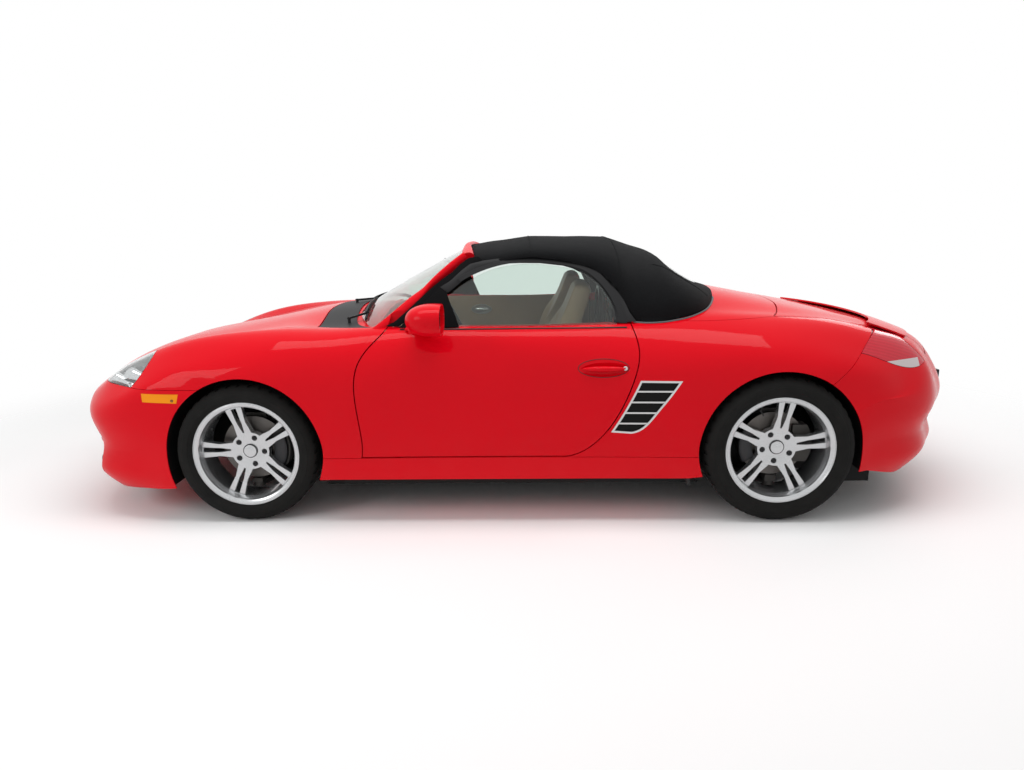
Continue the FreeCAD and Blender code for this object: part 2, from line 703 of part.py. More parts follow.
def make_panels(skin, deep):
    """Outer panels, cut from one skin along the seams; the lids are cut from a deeper one."""
    hood = plan_prism(panel_outline(hood_half_shares, hood_rear_shares))
    hood_in = plan_prism(panel_outline(hood_half_shares, hood_rear_shares), -shut_gap)
    cover_runs = panel_outline(cover_side_shares, cover_rear_shares, cover_front_shares)
    lid_runs = panel_outline(lid_side_shares, lid_rear_shares, cover_rear_shares)
    cover, cover_in = plan_prism(cover_runs), plan_prism(cover_runs, -shut_gap / 2)
    lid, lid_in = plan_prism(lid_runs), plan_prism(lid_runs, -shut_gap)
    door = side_prism(door_runs_shares)
    lamp_wire = periodic(lamp_ring_shares)
    lamp, lamp_in = prism(lamp_wire, rise), prism(lamp_wire, rise, -seam_gap)
    cabin_runs = panel_outline(cabin_side_shares, cover_front_shares, cowl_rear_shares)
    cabin = plan_prism(cabin_runs)
    cowl_runs = panel_outline(cowl_side_shares, cowl_rear_shares, hood_rear_shares)
    cowl_in = plan_prism(cowl_runs, -seam_gap)
    cowl = plan_prism(cowl_runs)
    low, high = above(low_lid_share), skin.common(above(low_lid_share))
    save("front_lid", deep.common(above(front_seam_share)).common(hood_in).cut(front_region(shut_gap)))
    save("top_cover", high.common(cover_in))
    save("rear_lid", deep.common(lid_in).common(above(lid_low_share)))
    save("cowl", high.common(cowl_in))
    marker = side_prism(marker_runs_shares, out(marker_inner_share))
    marker_in = side_prism(marker_runs_shares, out(marker_inner_share), -fit_gap)
    bumper = cut_each(skin.common(front_region(-seam_gap)),
            both(marker) + front_openings(0) + both(light_slot(seam_gap / 2)))
    save("front_bumper", bumper)
    save("running_lights", *both(skin.common(light_slot(-fit_gap))))
    save("side_markers", *both(skin.common(marker_in)))
    lamp_piece = high.common(left_half()).common(lamp_in).cut(front_region())
    save("headlamps", *both(lamp_piece))
    side = skin.common(left_half())
    top_cut = [hood.common(low), cover.common(low), lid.common(above(lid_low_share)), cabin.common(low),
            cowl.common(low)]
    sill = below(sill_seam_share)
    tail_region = cross_prism(tail_seam_runs_shares)
    tail_lamp = side_prism(tail_lamp_runs_shares, out(tail_lamp_inner_share))
    tail_lamp_in = side_prism(tail_lamp_runs_shares, out(tail_lamp_inner_share), -seam_gap)
    intake = side_prism(intake_runs_shares, out(tail_lamp_inner_share))
    wing = cut_each(side, [door, lamp, sill, front_region(), screen_frame(2 * fit_gap)[0]] + top_cut)
    mid = along(0)
    fender = wing.common(box(-overall_length, mid, -half_width - overrun, 0, 0, 2 * deck_height))
    quarter = wing.common(box(mid, overall_length, -half_width - overrun, 0, 0, 2 * deck_height))
    quarter = cut_each(quarter, [tail_region, tail_lamp, intake])
    for name, shape in zip(("left_", "right_"), both(fender)):
        save(name + "fender", shape)
    for name, shape in zip(("left_", "right_"), both(quarter)):
        save(name + "quarter", shape)
    lamp_back = side.common(tail_lamp_in).cut(lid.common(above(lid_low_share)))
    save("tail_lamps", *both(lamp_back))
    tail_in = cross_prism(tail_seam_runs_shares, -seam_gap)
    outlet = rounded(behind(0.90), behind(1.10), -outlet_half_width, outlet_half_width, outlet_low,
            outlet_high, outlet_round)
    rear = cut_each(skin.common(tail_in), both(tail_lamp) + [lid.common(above(lid_low_share)),
            cover.common(low), outlet])
    save("rear_bumper", rear)
    sills = skin.common(below(sill_seam_share, -seam_gap))
    save("sill_covers", sills)


def front_openings(grow):
    """Air openings of the front bumper: one on each side, and a low one between them."""
    side = [Vector(ahead(2), -out(y), up(z)) for y, z in side_opening_shares]
    side = prism(Part.makePolygon(side + side[:1]), Vector(opening_rear - ahead(2), 0, 0), grow)
    middle_one = [Vector(ahead(2), out(y), up(z)) for y, z in middle_opening_shares]
    middle_one = prism(Part.makePolygon(middle_one + middle_one[:1]),
            Vector(opening_rear - ahead(2), 0, 0), grow)
    return both(side) + [middle_one]


def light_slot(grow):
    """Slot of the running light above each side opening."""
    light = [Vector(ahead(2), -out(y), up(z)) for y, z in light_shares]
    return prism(Part.makePolygon(light + light[:1]), Vector(opening_rear - ahead(2), 0, 0), grow)


def make_grilles(core):
    """Slats across the openings, on a plate at the back of each."""
    behind_skin = raised(core, 0)
    behind_skin.translate(Vector(slat_setback, 0, 0))
    parts = []
    for opening in front_openings(-fit_gap):
        back = box(opening_rear - slat_plate - fit_gap, opening_rear - fit_gap,
                -half_width, half_width, 0, deck_height)
        plate = opening.common(back).common(behind_skin)
        slats = [opening.common(behind_skin).common(box(ahead(2), opening_rear - slat_plate, -half_width,
                half_width, up(z), up(z) + slat_plate))
                 for z in slat_height_shares]
        parts.append(pieces(joined([plate] + [slat for slat in slats if slat.Volume > 1]))[0])
    save("front_grilles", *parts)


def make_lamp_bowls(core):
    """Reflector floors of the headlamps with two projectors each."""
    wire = periodic(lamp_ring_shares)
    low, high = raised(core, fit_gap - lamp_depth), raised(core, 3 * sheet / 4 - lamp_depth)
    floor = prism(wire, rise, -lamp_wall - fit_gap).common(high).cut(low)
    lights = []
    roof = raised(core, -lamp_wall)
    for x, y, z in projector_shares:
        spot = place(x, y, z)
        barrel = Part.makeCylinder(projector_radius, projector_length,
                spot + projector_aim * -projector_length, projector_aim)
        glow = Part.makeSphere(projector_radius * 0.9, spot - projector_aim * projector_radius * 0.35)
        lights.append(barrel.fuse(glow).common(roof).cut(low))
    bowl = pieces(joined([floor] + lights))[0]
    save("lamp_bowls", *both(bowl))


def periodic(ring):
    """Closed wire through a ring of points on the left-hand side, in plan."""
    curve = Part.BSplineCurve()
    curve.interpolate(Points=[Vector(along(x), -out(y), 0) for x, y in ring], PeriodicFlag=True)
    return Part.Wire([curve.toShape()])


def glass_rows(runs):
    """Grid of points of the side glass's curved plane."""
    stations = (-0.62, -0.30, 0.0, 0.30, 0.56)
    return [[Vector(along(x), -out(y), up(z)) for y, z in side_glass_shares] for x in stations]


def middle(point):
    return Vector(point.x, 0, point.z)


def make_shell(core, lids, slots):
    """Floor, bulkheads, inner wings and posts in one piece, with the windscreen's frame."""
    deep = 2 * deck_height
    cabin = [
        box(along(cabin_share[0]), along(cabin_share[1]), -cabin_half_width, cabin_half_width, up(0.42),
                deep),
        box(along(cabin_share[0]), along(cabin_share[1]), -out(0.70), out(0.70), floor_height, deep),
        box(along(-0.790), along(-0.500), -out(0.66), out(0.66), floor_height, up(0.68)),
        box(along(cabin_share[0]), along(0.465), -out(0.66), out(0.66), up(0.64), deep),
    ]
    trunks = [
        box(along(-1.62), along(-0.93), -out(0.43), out(0.43), up(0.30), deep),
        box(along(1.20), along(1.58), -out(0.46), out(0.46), up(0.51), deep),
        box(along(0.430), along(0.92), -out(0.48), out(0.48), up(0.22), up(0.86)),
        box(along(0.430), along(1.00), -out(0.66), out(0.66), up(0.90), deep),
        box(behind(0.44), behind(0.84), -out(0.54), out(0.54), 0, up(0.475)),
        box(behind(0.70), behind(1.1), -out(0.14), out(0.14), 0, up(0.40)),
    ]
    liner_front = front_arch_radius + liner_gap + liner_thickness + fit_gap
    liner_rear = rear_arch_radius + liner_gap + liner_thickness + fit_gap
    arches = [
        arch(front_axle, front_tyre_radius, liner_front, half_width - front_arch_depth),
        arch(rear_axle, rear_tyre_radius, liner_rear, half_width - rear_arch_depth),
    ]
    doors = both(side_prism(door_runs_shares, door_inner - door_trim - shut_gap))
    swing = Part.makeCylinder(hinge_setback + 2 * shut_gap, up(1), hinge_point(0))
    shell = cut_each(core, cabin + trunks + arches + doors + both(swing) + lids + slots)
    belly = box(along(-1.20), along(1.40), -out(0.78), out(0.78), 0, deck_height)
    shell = shell.cut(hem_cutter(sheet).cut(belly))
    below_tray = box(-overall_length, overall_length, -half_width, half_width, 0, tray_height)
    below_nose = box(-overall_length, front_axle - front_tyre_radius, -half_width, half_width, 0,
            nose_tray_height)
    shell = pieces(shell.cut(below_tray).cut(below_nose))[0]
    brackets = [shape for height in hinge_height_shares for shape in both(hinge_bracket(up(height)))]
    for piece in brackets + [cut_each(bar, slots + doors) for bar in screen_frame()]:
        shell = shell.fuse(piece)
    return shell


def hinge_point(height):
    """Point on the left-hand door's hinge axis."""
    front = min(along(x) for x, z in door_runs_shares[0])
    return Vector(front + shut_gap + hinge_setback, -out(door_wide_share) + hinge_inset, height)


def hinge_bracket(height):
    """Arm from the front post to the hinge axis, with its upright pin."""
    axis = hinge_point(height)
    post = Vector(along(cabin_share[0]) - panel_wall, -cabin_half_width + 2 * shut_gap, height)
    run = post - axis
    arm = Part.makeBox(run.Length, 2 * hinge_barrel, hinge_leaf)
    arm.translate(Vector(0, -hinge_barrel, -hinge_leaf / 2))
    arm.rotate(Vector(0, 0, 0), Vector(0, 0, 1), math.degrees(math.atan2(run.y, run.x)))
    arm.translate(axis)
    eye = Part.makeCylinder(hinge_barrel, hinge_leaf, axis - Vector(0, 0, hinge_leaf / 2))
    pin = Part.makeCylinder(hinge_pin, 3 * hinge_leaf, axis - Vector(0, 0, 1.5 * hinge_leaf))
    return joined([arm, eye, pin])


def door_hinge(height):
    """Two barrels on the pin, above and below the bracket, with arms to the door."""
    axis = hinge_point(height)
    parts = []
    for side in (-1, 1):
        low = height + fit_gap + hinge_leaf / 2 if side > 0 else height - fit_gap - 1.5 * hinge_leaf
        barrel = Part.makeCylinder(hinge_barrel, hinge_leaf, Vector(axis.x, axis.y, low))
        arm = box(axis.x, axis.x + 2 * hinge_pocket, axis.y - hinge_barrel, axis.y + hinge_barrel,
                  low, low + hinge_leaf)
        bore = Part.makeCylinder(hinge_pin + running_gap, hinge_leaf, Vector(axis.x, axis.y, low))
        parts.append(joined([barrel, arm]).cut(bore))
    return parts


def swept(path_points, width, depth, lean):
    """Bar of rounded section along a spline."""
    curve = Part.BSplineCurve()
    curve.interpolate(path_points)
    path = Part.Wire([curve.toShape()])
    start, along_path = path_points[0], curve.tangent(0)[0]
    side = along_path.cross(lean).normalize()
    ring = Part.Wire([Part.Ellipse(start + side * width / 2,
            start + along_path.cross(side).normalize() * depth / 2, start).toShape()])
    return path.makePipeShell([ring], True, True)


def screen_frame(grow=0.0):
    """Pillars and header of the windscreen."""
    foot = [place(*point) for point in pillar_shares]
    pillar = swept(foot, pillar_width + grow, pillar_depth + grow, Vector(0, 1, 0))
    left = [place(*point) for point in header_shares]
    right = [Vector(p.x, -p.y, p.z) for p in reversed(left[:-1])]
    header = swept(left + right, pillar_width, pillar_depth, Vector(0, 0, 1))
    return both(pillar) + [header]


def make_door(outer, core, slot, band):
    """Left-hand door: outer skin, boxed body, hinge flange and glass slot."""
    door = band.common(side_prism(door_runs_shares, door_inner, -shut_gap))
    door = door.fuse(outer.common(side_prism(door_runs_shares, door_inner, -shut_gap - door_step)))
    axis = hinge_point(0)
    pocket = box(axis.x - 2 * hinge_setback, axis.x + hinge_pocket, -half_width, -door_inner + overrun, 0,
            up(0.93))
    door = door.cut([core.common(pocket), slot])
    hinges = [part for height in hinge_height_shares for part in door_hinge(up(height))]
    door = pieces(door)[0]
    recess = ellipsoid(place(*handle_place_shares), handle_length * 0.62, handle_recess,
            handle_height * 1.5)
    return joined([door] + hinges).cut(recess)


def ellipsoid(centre, along_x, along_y, along_z):
    ball = Part.makeSphere(1.0)
    grid = FreeCAD.Matrix()
    grid.scale(along_x, along_y, along_z)
    ball = ball.transformGeometry(grid)
    ball.translate(centre)
    return ball


def make_handle(outer):
    """Bar of a door handle over its recess, with the round lock."""
    centre = place(*handle_place_shares)
    bar = ellipsoid(centre, handle_length / 2, handle_recess, handle_height / 2)
    return bar


def make_trim():
    """Inner lining of the left-hand door with its armrest."""
    face = side_prism(door_runs_shares, door_inner - fit_gap - door_trim, -panel_wall)
    slab = box(along(-1), along(1), -door_inner + fit_gap, -door_inner + fit_gap + door_trim, up(0.46),
            up(0.985))
    front = hinge_point(0).x + 2 * hinge_pocket
    lining = face.common(slab).common(box(front, along(1), -half_width, 0, 0, 2 * deck_height))
    rest = box(max(front, along(-0.30)), along(0.22), -door_inner + door_trim / 2,
            -door_inner + 4 * door_trim, up(0.70), up(0.76))
    return joined([lining, rest.makeFillet(door_trim * 0.9, rest.Edges)])


# Glass and roof
def screen_grid():
    half = [[place(*p) for p in row] for row in screen_rows_shares]
    return [row[::-1] + [Vector(p.x, -p.y, p.z) for p in row[1:]] for row in half]


def screen_side(point):
    return Vector(point.x + deck_height, 0, 0)


def roof_side(point):
    return Vector(along(0.2), 0, 0)


def roof_rows():
    """Grid of the fabric top: arcs from its lower edge up to its spine, front to rear."""
    rows = []
    for (ex, ey, ez), (cx, cz) in zip(roof_edge_shares, roof_spine_shares):
        edge, spine = place(ex, ey, ez), Vector(along(cx), 0, up(cz))
        half = []
        for turn in roof_arc_shares:
            angle = turn * math.pi / 2
            rise_share = math.sin(angle) ** roof_rise_power
            half.append(Vector(edge.x + (spine.x - edge.x) * (1 - math.cos(angle) ** roof_wrap_power),
                               edge.y * math.cos(angle) ** roof_side_power,
                               edge.z + (spine.z - edge.z) * rise_share))
        half[-1] = spine
        rows.append(half + [Vector(p.x, -p.y, p.z) for p in reversed(half[:-1])])
    return rows


def make_rail():
    """Frame above the left-hand side glass, on the roof."""
    slab = thick_patch(glass_rows(window_runs_shares), 3 * glass_thickness, middle)
    return slab.common(side_prism(rail_runs_shares, out(0.5)))


# Wheels


def turned(points, axle_x, y, z, sign):
    """Solid of revolution about a wheel's axis from (radius, outward offset) pairs; sign is the side."""
    ring = [Vector(axle_x, y + sign * w, z + r) for r, w in points]
    face = Part.Face(Part.makePolygon(ring + [ring[0]]))
    return face.revolve(Vector(axle_x, y, z), Vector(0, 1, 0), 360)


def make_tyre(axle_x, tyre_radius, width, track, sign):
    height = tyre_radius - rim_radius + rim_edge
    base = rim_radius - rim_edge
    outside = [(base + share * height, w * width) for share, w in tyre_half_shares]
    points = outside + [(r, -w) for r, w in reversed(outside)]
    return turned(points, axle_x, sign * track / 2, tyre_radius, sign)


def wheel_blank(axle_x, tyre_radius, width, track, sign):
    """Rim barrel: bead seats outside, a drop centre between them."""
    seat = rim_radius - rim_edge - bead_gap
    edge = tyre_half_shares[0][1] * width - bead_gap
    points = [
        (rim_radius, edge + rim_wall), (rim_radius - rim_wall, edge + 1.4 * rim_wall),
        (seat - rim_wall, edge), (seat - 3.2 * rim_wall, edge - 5 * rim_wall),
        (seat - 3.2 * rim_wall, -edge * 0.6),
        (seat - rim_wall, -edge), (rim_radius - rim_wall, -edge - rim_wall), (rim_radius, -edge - rim_wall),
        (rim_radius, -edge - 4 * bead_gap), (seat, -edge - 4 * bead_gap), (seat, -edge + rim_wall),
        (seat - 2.2 * rim_wall, -edge * 0.6),
        (seat - 2.2 * rim_wall, edge - 5.6 * rim_wall), (seat, edge - rim_wall),
        (seat, edge + 4 * bead_gap), (rim_radius, edge + 4 * bead_gap),
    ]
    return turned(points, axle_x, sign * track / 2, tyre_radius, sign)


def spoke_plan(angle, centre, sign, depth):
    """One twin spoke's outline with its slot, extruded along the wheel's axis."""
    reach = rim_radius - rim_edge - 2.2 * rim_wall
    outline = [(hub_radius * 0.5, 0.80), (hub_radius, 0.74), (reach * 0.62, 0.62), (reach, 0.86)]
    points = [(r, spoke_half_width * w) for r, w in outline]
    ring = points + [(r, -w) for r, w in reversed(points)]
    slot = [(hub_radius * 1.02, 0.35), (reach * 0.62, 0.95), (reach * 0.955, 1.10)]
    hole = [(r, spoke_slot_half * w) for r, w in slot]
    hole += [(r, -w) for r, w in reversed(hole)]
    faces = []
    for loop in (ring, hole):
        vectors = [Vector(r, 0, w) for r, w in loop]
        face = Part.Face(Part.makePolygon(vectors + [vectors[0]]))
        faces.append(face.extrude(Vector(0, sign * depth, 0)))
    arm = faces[0].cut(faces[1])
    arm.rotate(Vector(0, 0, 0), Vector(0, 1, 0), -angle)
    arm.translate(centre)
    return arm


def make_wheel(axle_x, tyre_radius, width, track, sign, phase):
    barrel = wheel_blank(axle_x, tyre_radius, width, track, sign)
    edge = 0.400 * width
    face = edge - wheel_face
    start = face - hub_dish - 3 * spoke_depth
    base = Vector(axle_x, sign * (track / 2 + start), tyre_radius)
    arms = [spoke_plan(phase + k * 360.0 / spoke_count, base, sign,
            edge - start) for k in range(spoke_count)]
    hub = turned([(0, start), (hub_radius, start), (hub_radius, edge),
        (0, edge)], axle_x, sign * track / 2, tyre_radius, sign)
    reach = rim_radius - rim_edge - 2.2 * rim_wall
    dish = turned([
        (0, face - hub_dish - spoke_depth * 1.5), (hub_radius, face - hub_dish - spoke_depth * 1.4),
        (reach, face - spoke_depth), (reach, face), (reach * 0.7, face - hub_dish * 0.25),
        (hub_radius, face - hub_dish * 0.8), (cap_radius * 1.3, face - hub_dish), (0, face - hub_dish),
    ], axle_x, sign * track / 2, tyre_radius, sign)
    centre = joined([hub] + arms).common(dish)
    bore = turned([(0, face - hub_dish - fit_gap), (cap_radius, face - hub_dish - fit_gap),
        (cap_radius, edge), (0, edge)],
                  axle_x, sign * track / 2, tyre_radius, sign)
    holes = []
    for k in range(spoke_count):
        turn = math.radians(phase + (k + 0.5) * 360.0 / spoke_count)
        spot = Vector(axle_x + bolt_circle / 2 * math.cos(turn), sign * (track / 2 + start),
                tyre_radius + bolt_circle / 2 * math.sin(turn))
        holes.append(Part.makeCylinder(bolt_hole, edge - start, spot, Vector(0, sign, 0)))
    cap = turned([(0, face - hub_dish), (cap_radius - fit_gap, face - hub_dish),
        (cap_radius - fit_gap, face - hub_dish + 6 * fit_gap), (0, face - hub_dish + 12 * fit_gap)],
                 axle_x, sign * track / 2, tyre_radius, sign)
    return joined([barrel, centre.cut(holes)]), cap


def make_disc(axle_x, tyre_radius, width, track, sign, centre_offset):
    """Vented brake disc with its hat, on the hub face."""
    back = centre_offset - disc_thickness * 2
    hat = disc_radius * 0.55
    points = [(0, centre_offset), (hat, centre_offset), (hat, back + disc_thickness),
        (disc_radius, back + disc_thickness),
              (disc_radius, back), (hat * 0.9, back), (hat * 0.9, centre_offset - disc_thickness / 3),
              (0, centre_offset - disc_thickness / 3)]
    return turned(points, axle_x, sign * track / 2, tyre_radius, sign)


def hub_face(width):
    """Outward offset of a wheel's mounting face from its middle plane."""
    return 0.400 * width - wheel_face - hub_dish - 1.5 * spoke_depth - fit_gap


def make_upright(axle_x, tyre_radius, width, track, sign):
    """Hub carrier with its bearing and the brake caliper, which hold the wheel."""
    face = hub_face(width)
    back = face - disc_thickness / 3 - 2 * fit_gap
    y = sign * track / 2
    bearing = turned([(0, back), (disc_radius * 0.42, back),
        (disc_radius * 0.42, back - disc_thickness * 3), (0, back - disc_thickness * 3)],
                     axle_x, y, tyre_radius, sign)
    post_y0, post_y1 = sorted((y + sign * (back - disc_thickness * 3.4),
            y + sign * (back - disc_thickness * 2.4)))
    post = box(axle_x - disc_thickness * 2, axle_x + disc_thickness * 2, post_y0, post_y1,
               tyre_radius - disc_radius * 1.05, tyre_radius + disc_radius * 1.05)
    rear = face - 2 * disc_thickness
    pad = disc_thickness * 0.85
    jaw_y0, jaw_y1 = sorted((y + sign * (rear - pad), y + sign * (rear + disc_thickness + pad)))
    caliper = Part.makeCylinder(disc_radius * 1.16, jaw_y1 - jaw_y0, Vector(axle_x, jaw_y0, tyre_radius),
            Vector(0, 1, 0))
    caliper = caliper.cut(Part.makeCylinder(disc_radius * 0.68, jaw_y1 - jaw_y0,
            Vector(axle_x, jaw_y0, tyre_radius), Vector(0, 1, 0)))
    caliper = caliper.common(box(axle_x + disc_radius * 0.55, axle_x + disc_radius * 1.3, jaw_y0, jaw_y1,
                                 tyre_radius - disc_radius * 0.55, tyre_radius + disc_radius * 0.62))
    slot_y0, slot_y1 = sorted((y + sign * (rear - 3 * fit_gap),
            y + sign * (rear + disc_thickness + 3 * fit_gap)))
    slot = Part.makeCylinder(disc_radius + 3, slot_y1 - slot_y0, Vector(axle_x, slot_y0, tyre_radius),
            Vector(0, 1, 0))
    tie_y0, tie_y1 = sorted((post_y0 if sign > 0 else post_y1, jaw_y0 if sign > 0 else jaw_y1))
    tie = box(axle_x, axle_x + disc_radius * 0.95, tie_y0 - (overrun / 4), tie_y1 + overrun / 4,
            tyre_radius - overrun, tyre_radius + overrun)
    pivot = sign * (track / 2 - steering_inset)
    foot_y0, foot_y1 = sorted((post_y0 if sign > 0 else post_y1, pivot + sign * disc_thickness))
    foot = box(axle_x - disc_thickness, axle_x + disc_thickness, foot_y0, foot_y1,
               arm_height + arm_thickness + fit_gap, tyre_radius - disc_radius - running_clear)
    return joined([bearing, post, caliper.cut(slot), tie.cut(slot), foot])


def make_arm(axle_x, tyre_radius, track, inner, arch_radius):
    """Left-hand lower arm with its spring strut, from the inner wall to under the hub carrier."""
    pivot = track / 2 - steering_inset
    wall = half_width - inner
    spread = arch_radius * 0.36
    plate = flat_plate(((axle_x - spread, wall + fit_gap), (axle_x + spread, wall + fit_gap),
                        (axle_x + arm_bar / 2, pivot),
                        (axle_x - arm_bar / 2, pivot)), arm_height, arm_thickness)
    near, far = wall + 2.4 * spring_inset, pivot - 2 * arm_bar
    hole = flat_plate(((axle_x - spread / 3, near), (axle_x + spread / 3, near),
        (axle_x, far)), arm_height, arm_thickness)
    cup = Part.makeCylinder(arm_bar * 0.75, arm_thickness, Vector(axle_x, -pivot, arm_height))
    spring = Part.makeCylinder(spring_radius, tyre_radius + arch_radius * 0.95 - arm_height,
                               Vector(axle_x, -wall - spring_inset, arm_height))
    return joined([plate.cut(hole), cup, spring])


def flat_plate(corners_on_left, height, thickness):
    """Level plate through corners given by X and distance from the middle plane."""
    points = [Vector(x, -y, height) for x, y in corners_on_left]
    return Part.Face(Part.makePolygon(points + [points[0]])).extrude(Vector(0, 0, thickness))


def make_liner(core, axle_x, tyre_radius, radius, inner):
    outer = drum(axle_x, -half_width, -inner, tyre_radius, radius + liner_gap + liner_thickness)
    hollow = drum(axle_x, -half_width, -inner, tyre_radius, radius + liner_gap)
    half = box(axle_x - 2 * radius, axle_x + 2 * radius, -half_width, 0, up(0.26), deck_height)
    return core.common(outer).cut(hollow).common(half)


def corners():
    front = (front_axle, front_tyre_radius, front_tyre_width, front_track)
    rear = (rear_axle, rear_tyre_radius, rear_tyre_width, rear_track)
    return (("front_left", front, -1), ("front_right", front, 1), ("rear_left", rear, -1),
    ("rear_right", rear, 1))


def make_running_gear(core):
    rear_uprights = []
    for name, size, sign in corners():
        end = name.split("_")[0]
        phase = wheel_phase[end]
        wheel, cap = make_wheel(*size, sign, phase)
        save(name + "_wheel", wheel, cap)
        save(name + "_tyre", make_tyre(*size, sign))
        save(name + "_disc", make_disc(*size, sign, hub_face(size[2])))
        upright = make_upright(*size, sign)
        if end == "front":
            save(name.split("_")[1] + "_knuckle", upright)
        else:
            rear_uprights.append(upright)
    save("rear_hubs", *rear_uprights)
    liners = [make_liner(core, front_axle, front_tyre_radius, front_arch_radius,
            half_width - front_arch_depth),
              make_liner(core, rear_axle, rear_tyre_radius, rear_arch_radius, half_width - rear_arch_depth)]
    save("arch_liners", *[side for liner in liners for side in both(liner)])
    front_arm = make_arm(front_axle, front_tyre_radius, front_track, front_arch_depth, front_arch_radius)
    rear_arm = make_arm(rear_axle, rear_tyre_radius, rear_track, rear_arch_depth, rear_arch_radius)
    save("suspension", *both(front_arm), *both(rear_arm))


# Cabin
def rounded(x0, x1, y0, y1, z0, z1, radius):
    block = box(x0, x1, y0, y1, z0, z1)
    return block.makeFillet(radius, block.Edges)


def leaned(shape, x, z, degrees):
    shape.rotate(Vector(x, 0, z), Vector(0, 1, 0), degrees)
    return shape


def make_seat():
    """Left-hand bucket seat with its tall back and built-in head restraint."""
    x, y, top = along(seat_x_share), -out(seat_y_share), up(cushion_top_share)
    half = seat_width / 2
    cushion = rounded(x - cushion_length / 2, x + cushion_length / 2, y - half, y + half,
            top - cushion_height, top, seat_round)
    well = rounded(x - cushion_length, x + cushion_length / 2 - seat_round, y - half * 0.62,
            y + half * 0.62,
                   top - seat_round * 0.6, top + cushion_height, seat_round * 0.55)
    cushion = leaned(cushion.cut(well), x, top, 5)
    hip = x + cushion_length / 2 - back_thickness * 0.7
    back = rounded(hip, hip + back_thickness, y - half, y + half, top - cushion_height, top + back_height,
            seat_round)
    dip = rounded(hip - back_thickness, hip + seat_round * 0.6, y - half * 0.60, y + half * 0.60,
                  top - cushion_height, top + back_height * 0.94, seat_round * 0.55)
    head = rounded(hip + seat_round * 0.3, hip + back_thickness * 0.85, y - half * 0.55, y + half * 0.55,
                   top + back_height - seat_round * 2,
                   top + back_height + headrest_height - seat_round, seat_round * 0.9)
    back = leaned(joined([back.cut(dip), head]), hip, top, back_lean)
    rail_low = floor_height + fit_gap
    base = box(x - cushion_length * 0.4, x + cushion_length * 0.35, y - half * 0.7, y + half * 0.7,
            rail_low, top - cushion_height * 0.6)
    return joined([cushion, back, base])


def make_dashboard():
    """Dashboard across the cabin with the hood over the dials and the vents' centre block."""
    front, rear = along(cabin_share[0]) + fit_gap, along(-0.335)
    width = cabin_half_width - 2 * shut_gap - fit_gap
    main_block = box(front, rear, -width, width, up(0.70), up(0.955))
    edges = [e for e in main_block.Edges if abs(e.CenterOfMass.x - rear) < 1 and e.BoundBox.YLength > width]
    main_block = main_block.makeFillet(dash_round, edges)
    y = -out(seat_y_share)
    hood = Part.makeCylinder(wheel_rim, rear - front, Vector(front + overrun, y, up(0.84)), Vector(1, 0, 0))
    hood = hood.common(box(front, rear + overrun, y - wheel_rim, y + wheel_rim, up(0.84), up(1.02)))
    return joined([main_block, hood])


def make_column():
    """Steering wheel with three spokes on its column."""
    centre = Vector(along(wheel_x_share), -out(seat_y_share), up(wheel_z_share))
    torus = Part.makeTorus(wheel_rim, wheel_grip)
    boss = Part.makeCylinder(wheel_rim * 0.34, overrun, Vector(0, 0, -overrun))
    boss = boss.makeFillet(wheel_grip * 0.6, boss.Edges[:1])
    parts = [torus, boss]
    for turn in (0, 180, 270):
        bar = box(0, wheel_rim, -wheel_grip * 1.2, wheel_grip * 1.2, -overrun * 0.7, -overrun * 0.3)
        bar.rotate(Vector(0, 0, 0), Vector(0, 0, 1), turn)
        parts.append(bar)
    parts.append(Part.makeCylinder(wheel_grip * 1.6, column_share * column_length,
            Vector(0, 0, -column_share * column_length)))
    wheel = joined(parts)
    wheel.rotate(Vector(0, 0, 0), Vector(0, 0, 1), 90)
    wheel.rotate(Vector(0, 0, 0), Vector(0, 1, 0), 90 - wheel_tilt)
    wheel.translate(centre)
    return wheel


def make_console():
    """Centre tunnel with the gear lever, and the roll hoops behind the seats."""
    front, rear = along(-0.50), along(0.295)
    tunnel = box(front, rear, -out(0.115), out(0.115), floor_height + fit_gap, up(0.50))
    tunnel = tunnel.makeFillet(dash_round * 0.8,
            [e for e in tunnel.Edges
             if abs(e.CenterOfMass.z - up(0.50)) < 1 and e.BoundBox.XLength > overrun])
    stem = Part.makeCylinder(wheel_grip * 0.6, up(0.12), Vector(along(-0.20), 0, up(0.49)))
    knob = ellipsoid(Vector(along(-0.20), 0, up(0.62)), wheel_grip * 1.6, wheel_grip * 1.6,
            wheel_grip * 1.9)
    return joined([tunnel, stem, knob])


def make_hoop():
    """Left-hand roll hoop: an arch of tube on the rear bulkhead."""
    x, y, z = along(0.432), -out(seat_y_share), up(0.64) + fit_gap
    low_left, low_right = Vector(x, y - hoop_half, z), Vector(x, y + hoop_half, z)
    left, right = low_left + Vector(0, 0, hoop_rise), low_right + Vector(0, 0, hoop_rise)
    top = Vector(x, y, left.z + hoop_half)
    path = Part.Wire([Part.LineSegment(low_left, left).toShape(), Part.Arc(left, top, right).toShape(),
                      Part.LineSegment(right, low_right).toShape()])
    ring = Part.Wire([Part.Circle(low_left, Vector(0, 0, 1), hoop_tube).toShape()])
    return path.makePipeShell([ring], True, True)


def make_cabin():
    save("seats", *both(make_seat()))
    save("dashboard", make_dashboard())
    save("console", make_console())
    save("steering_wheel", make_column())


# Outside fittings


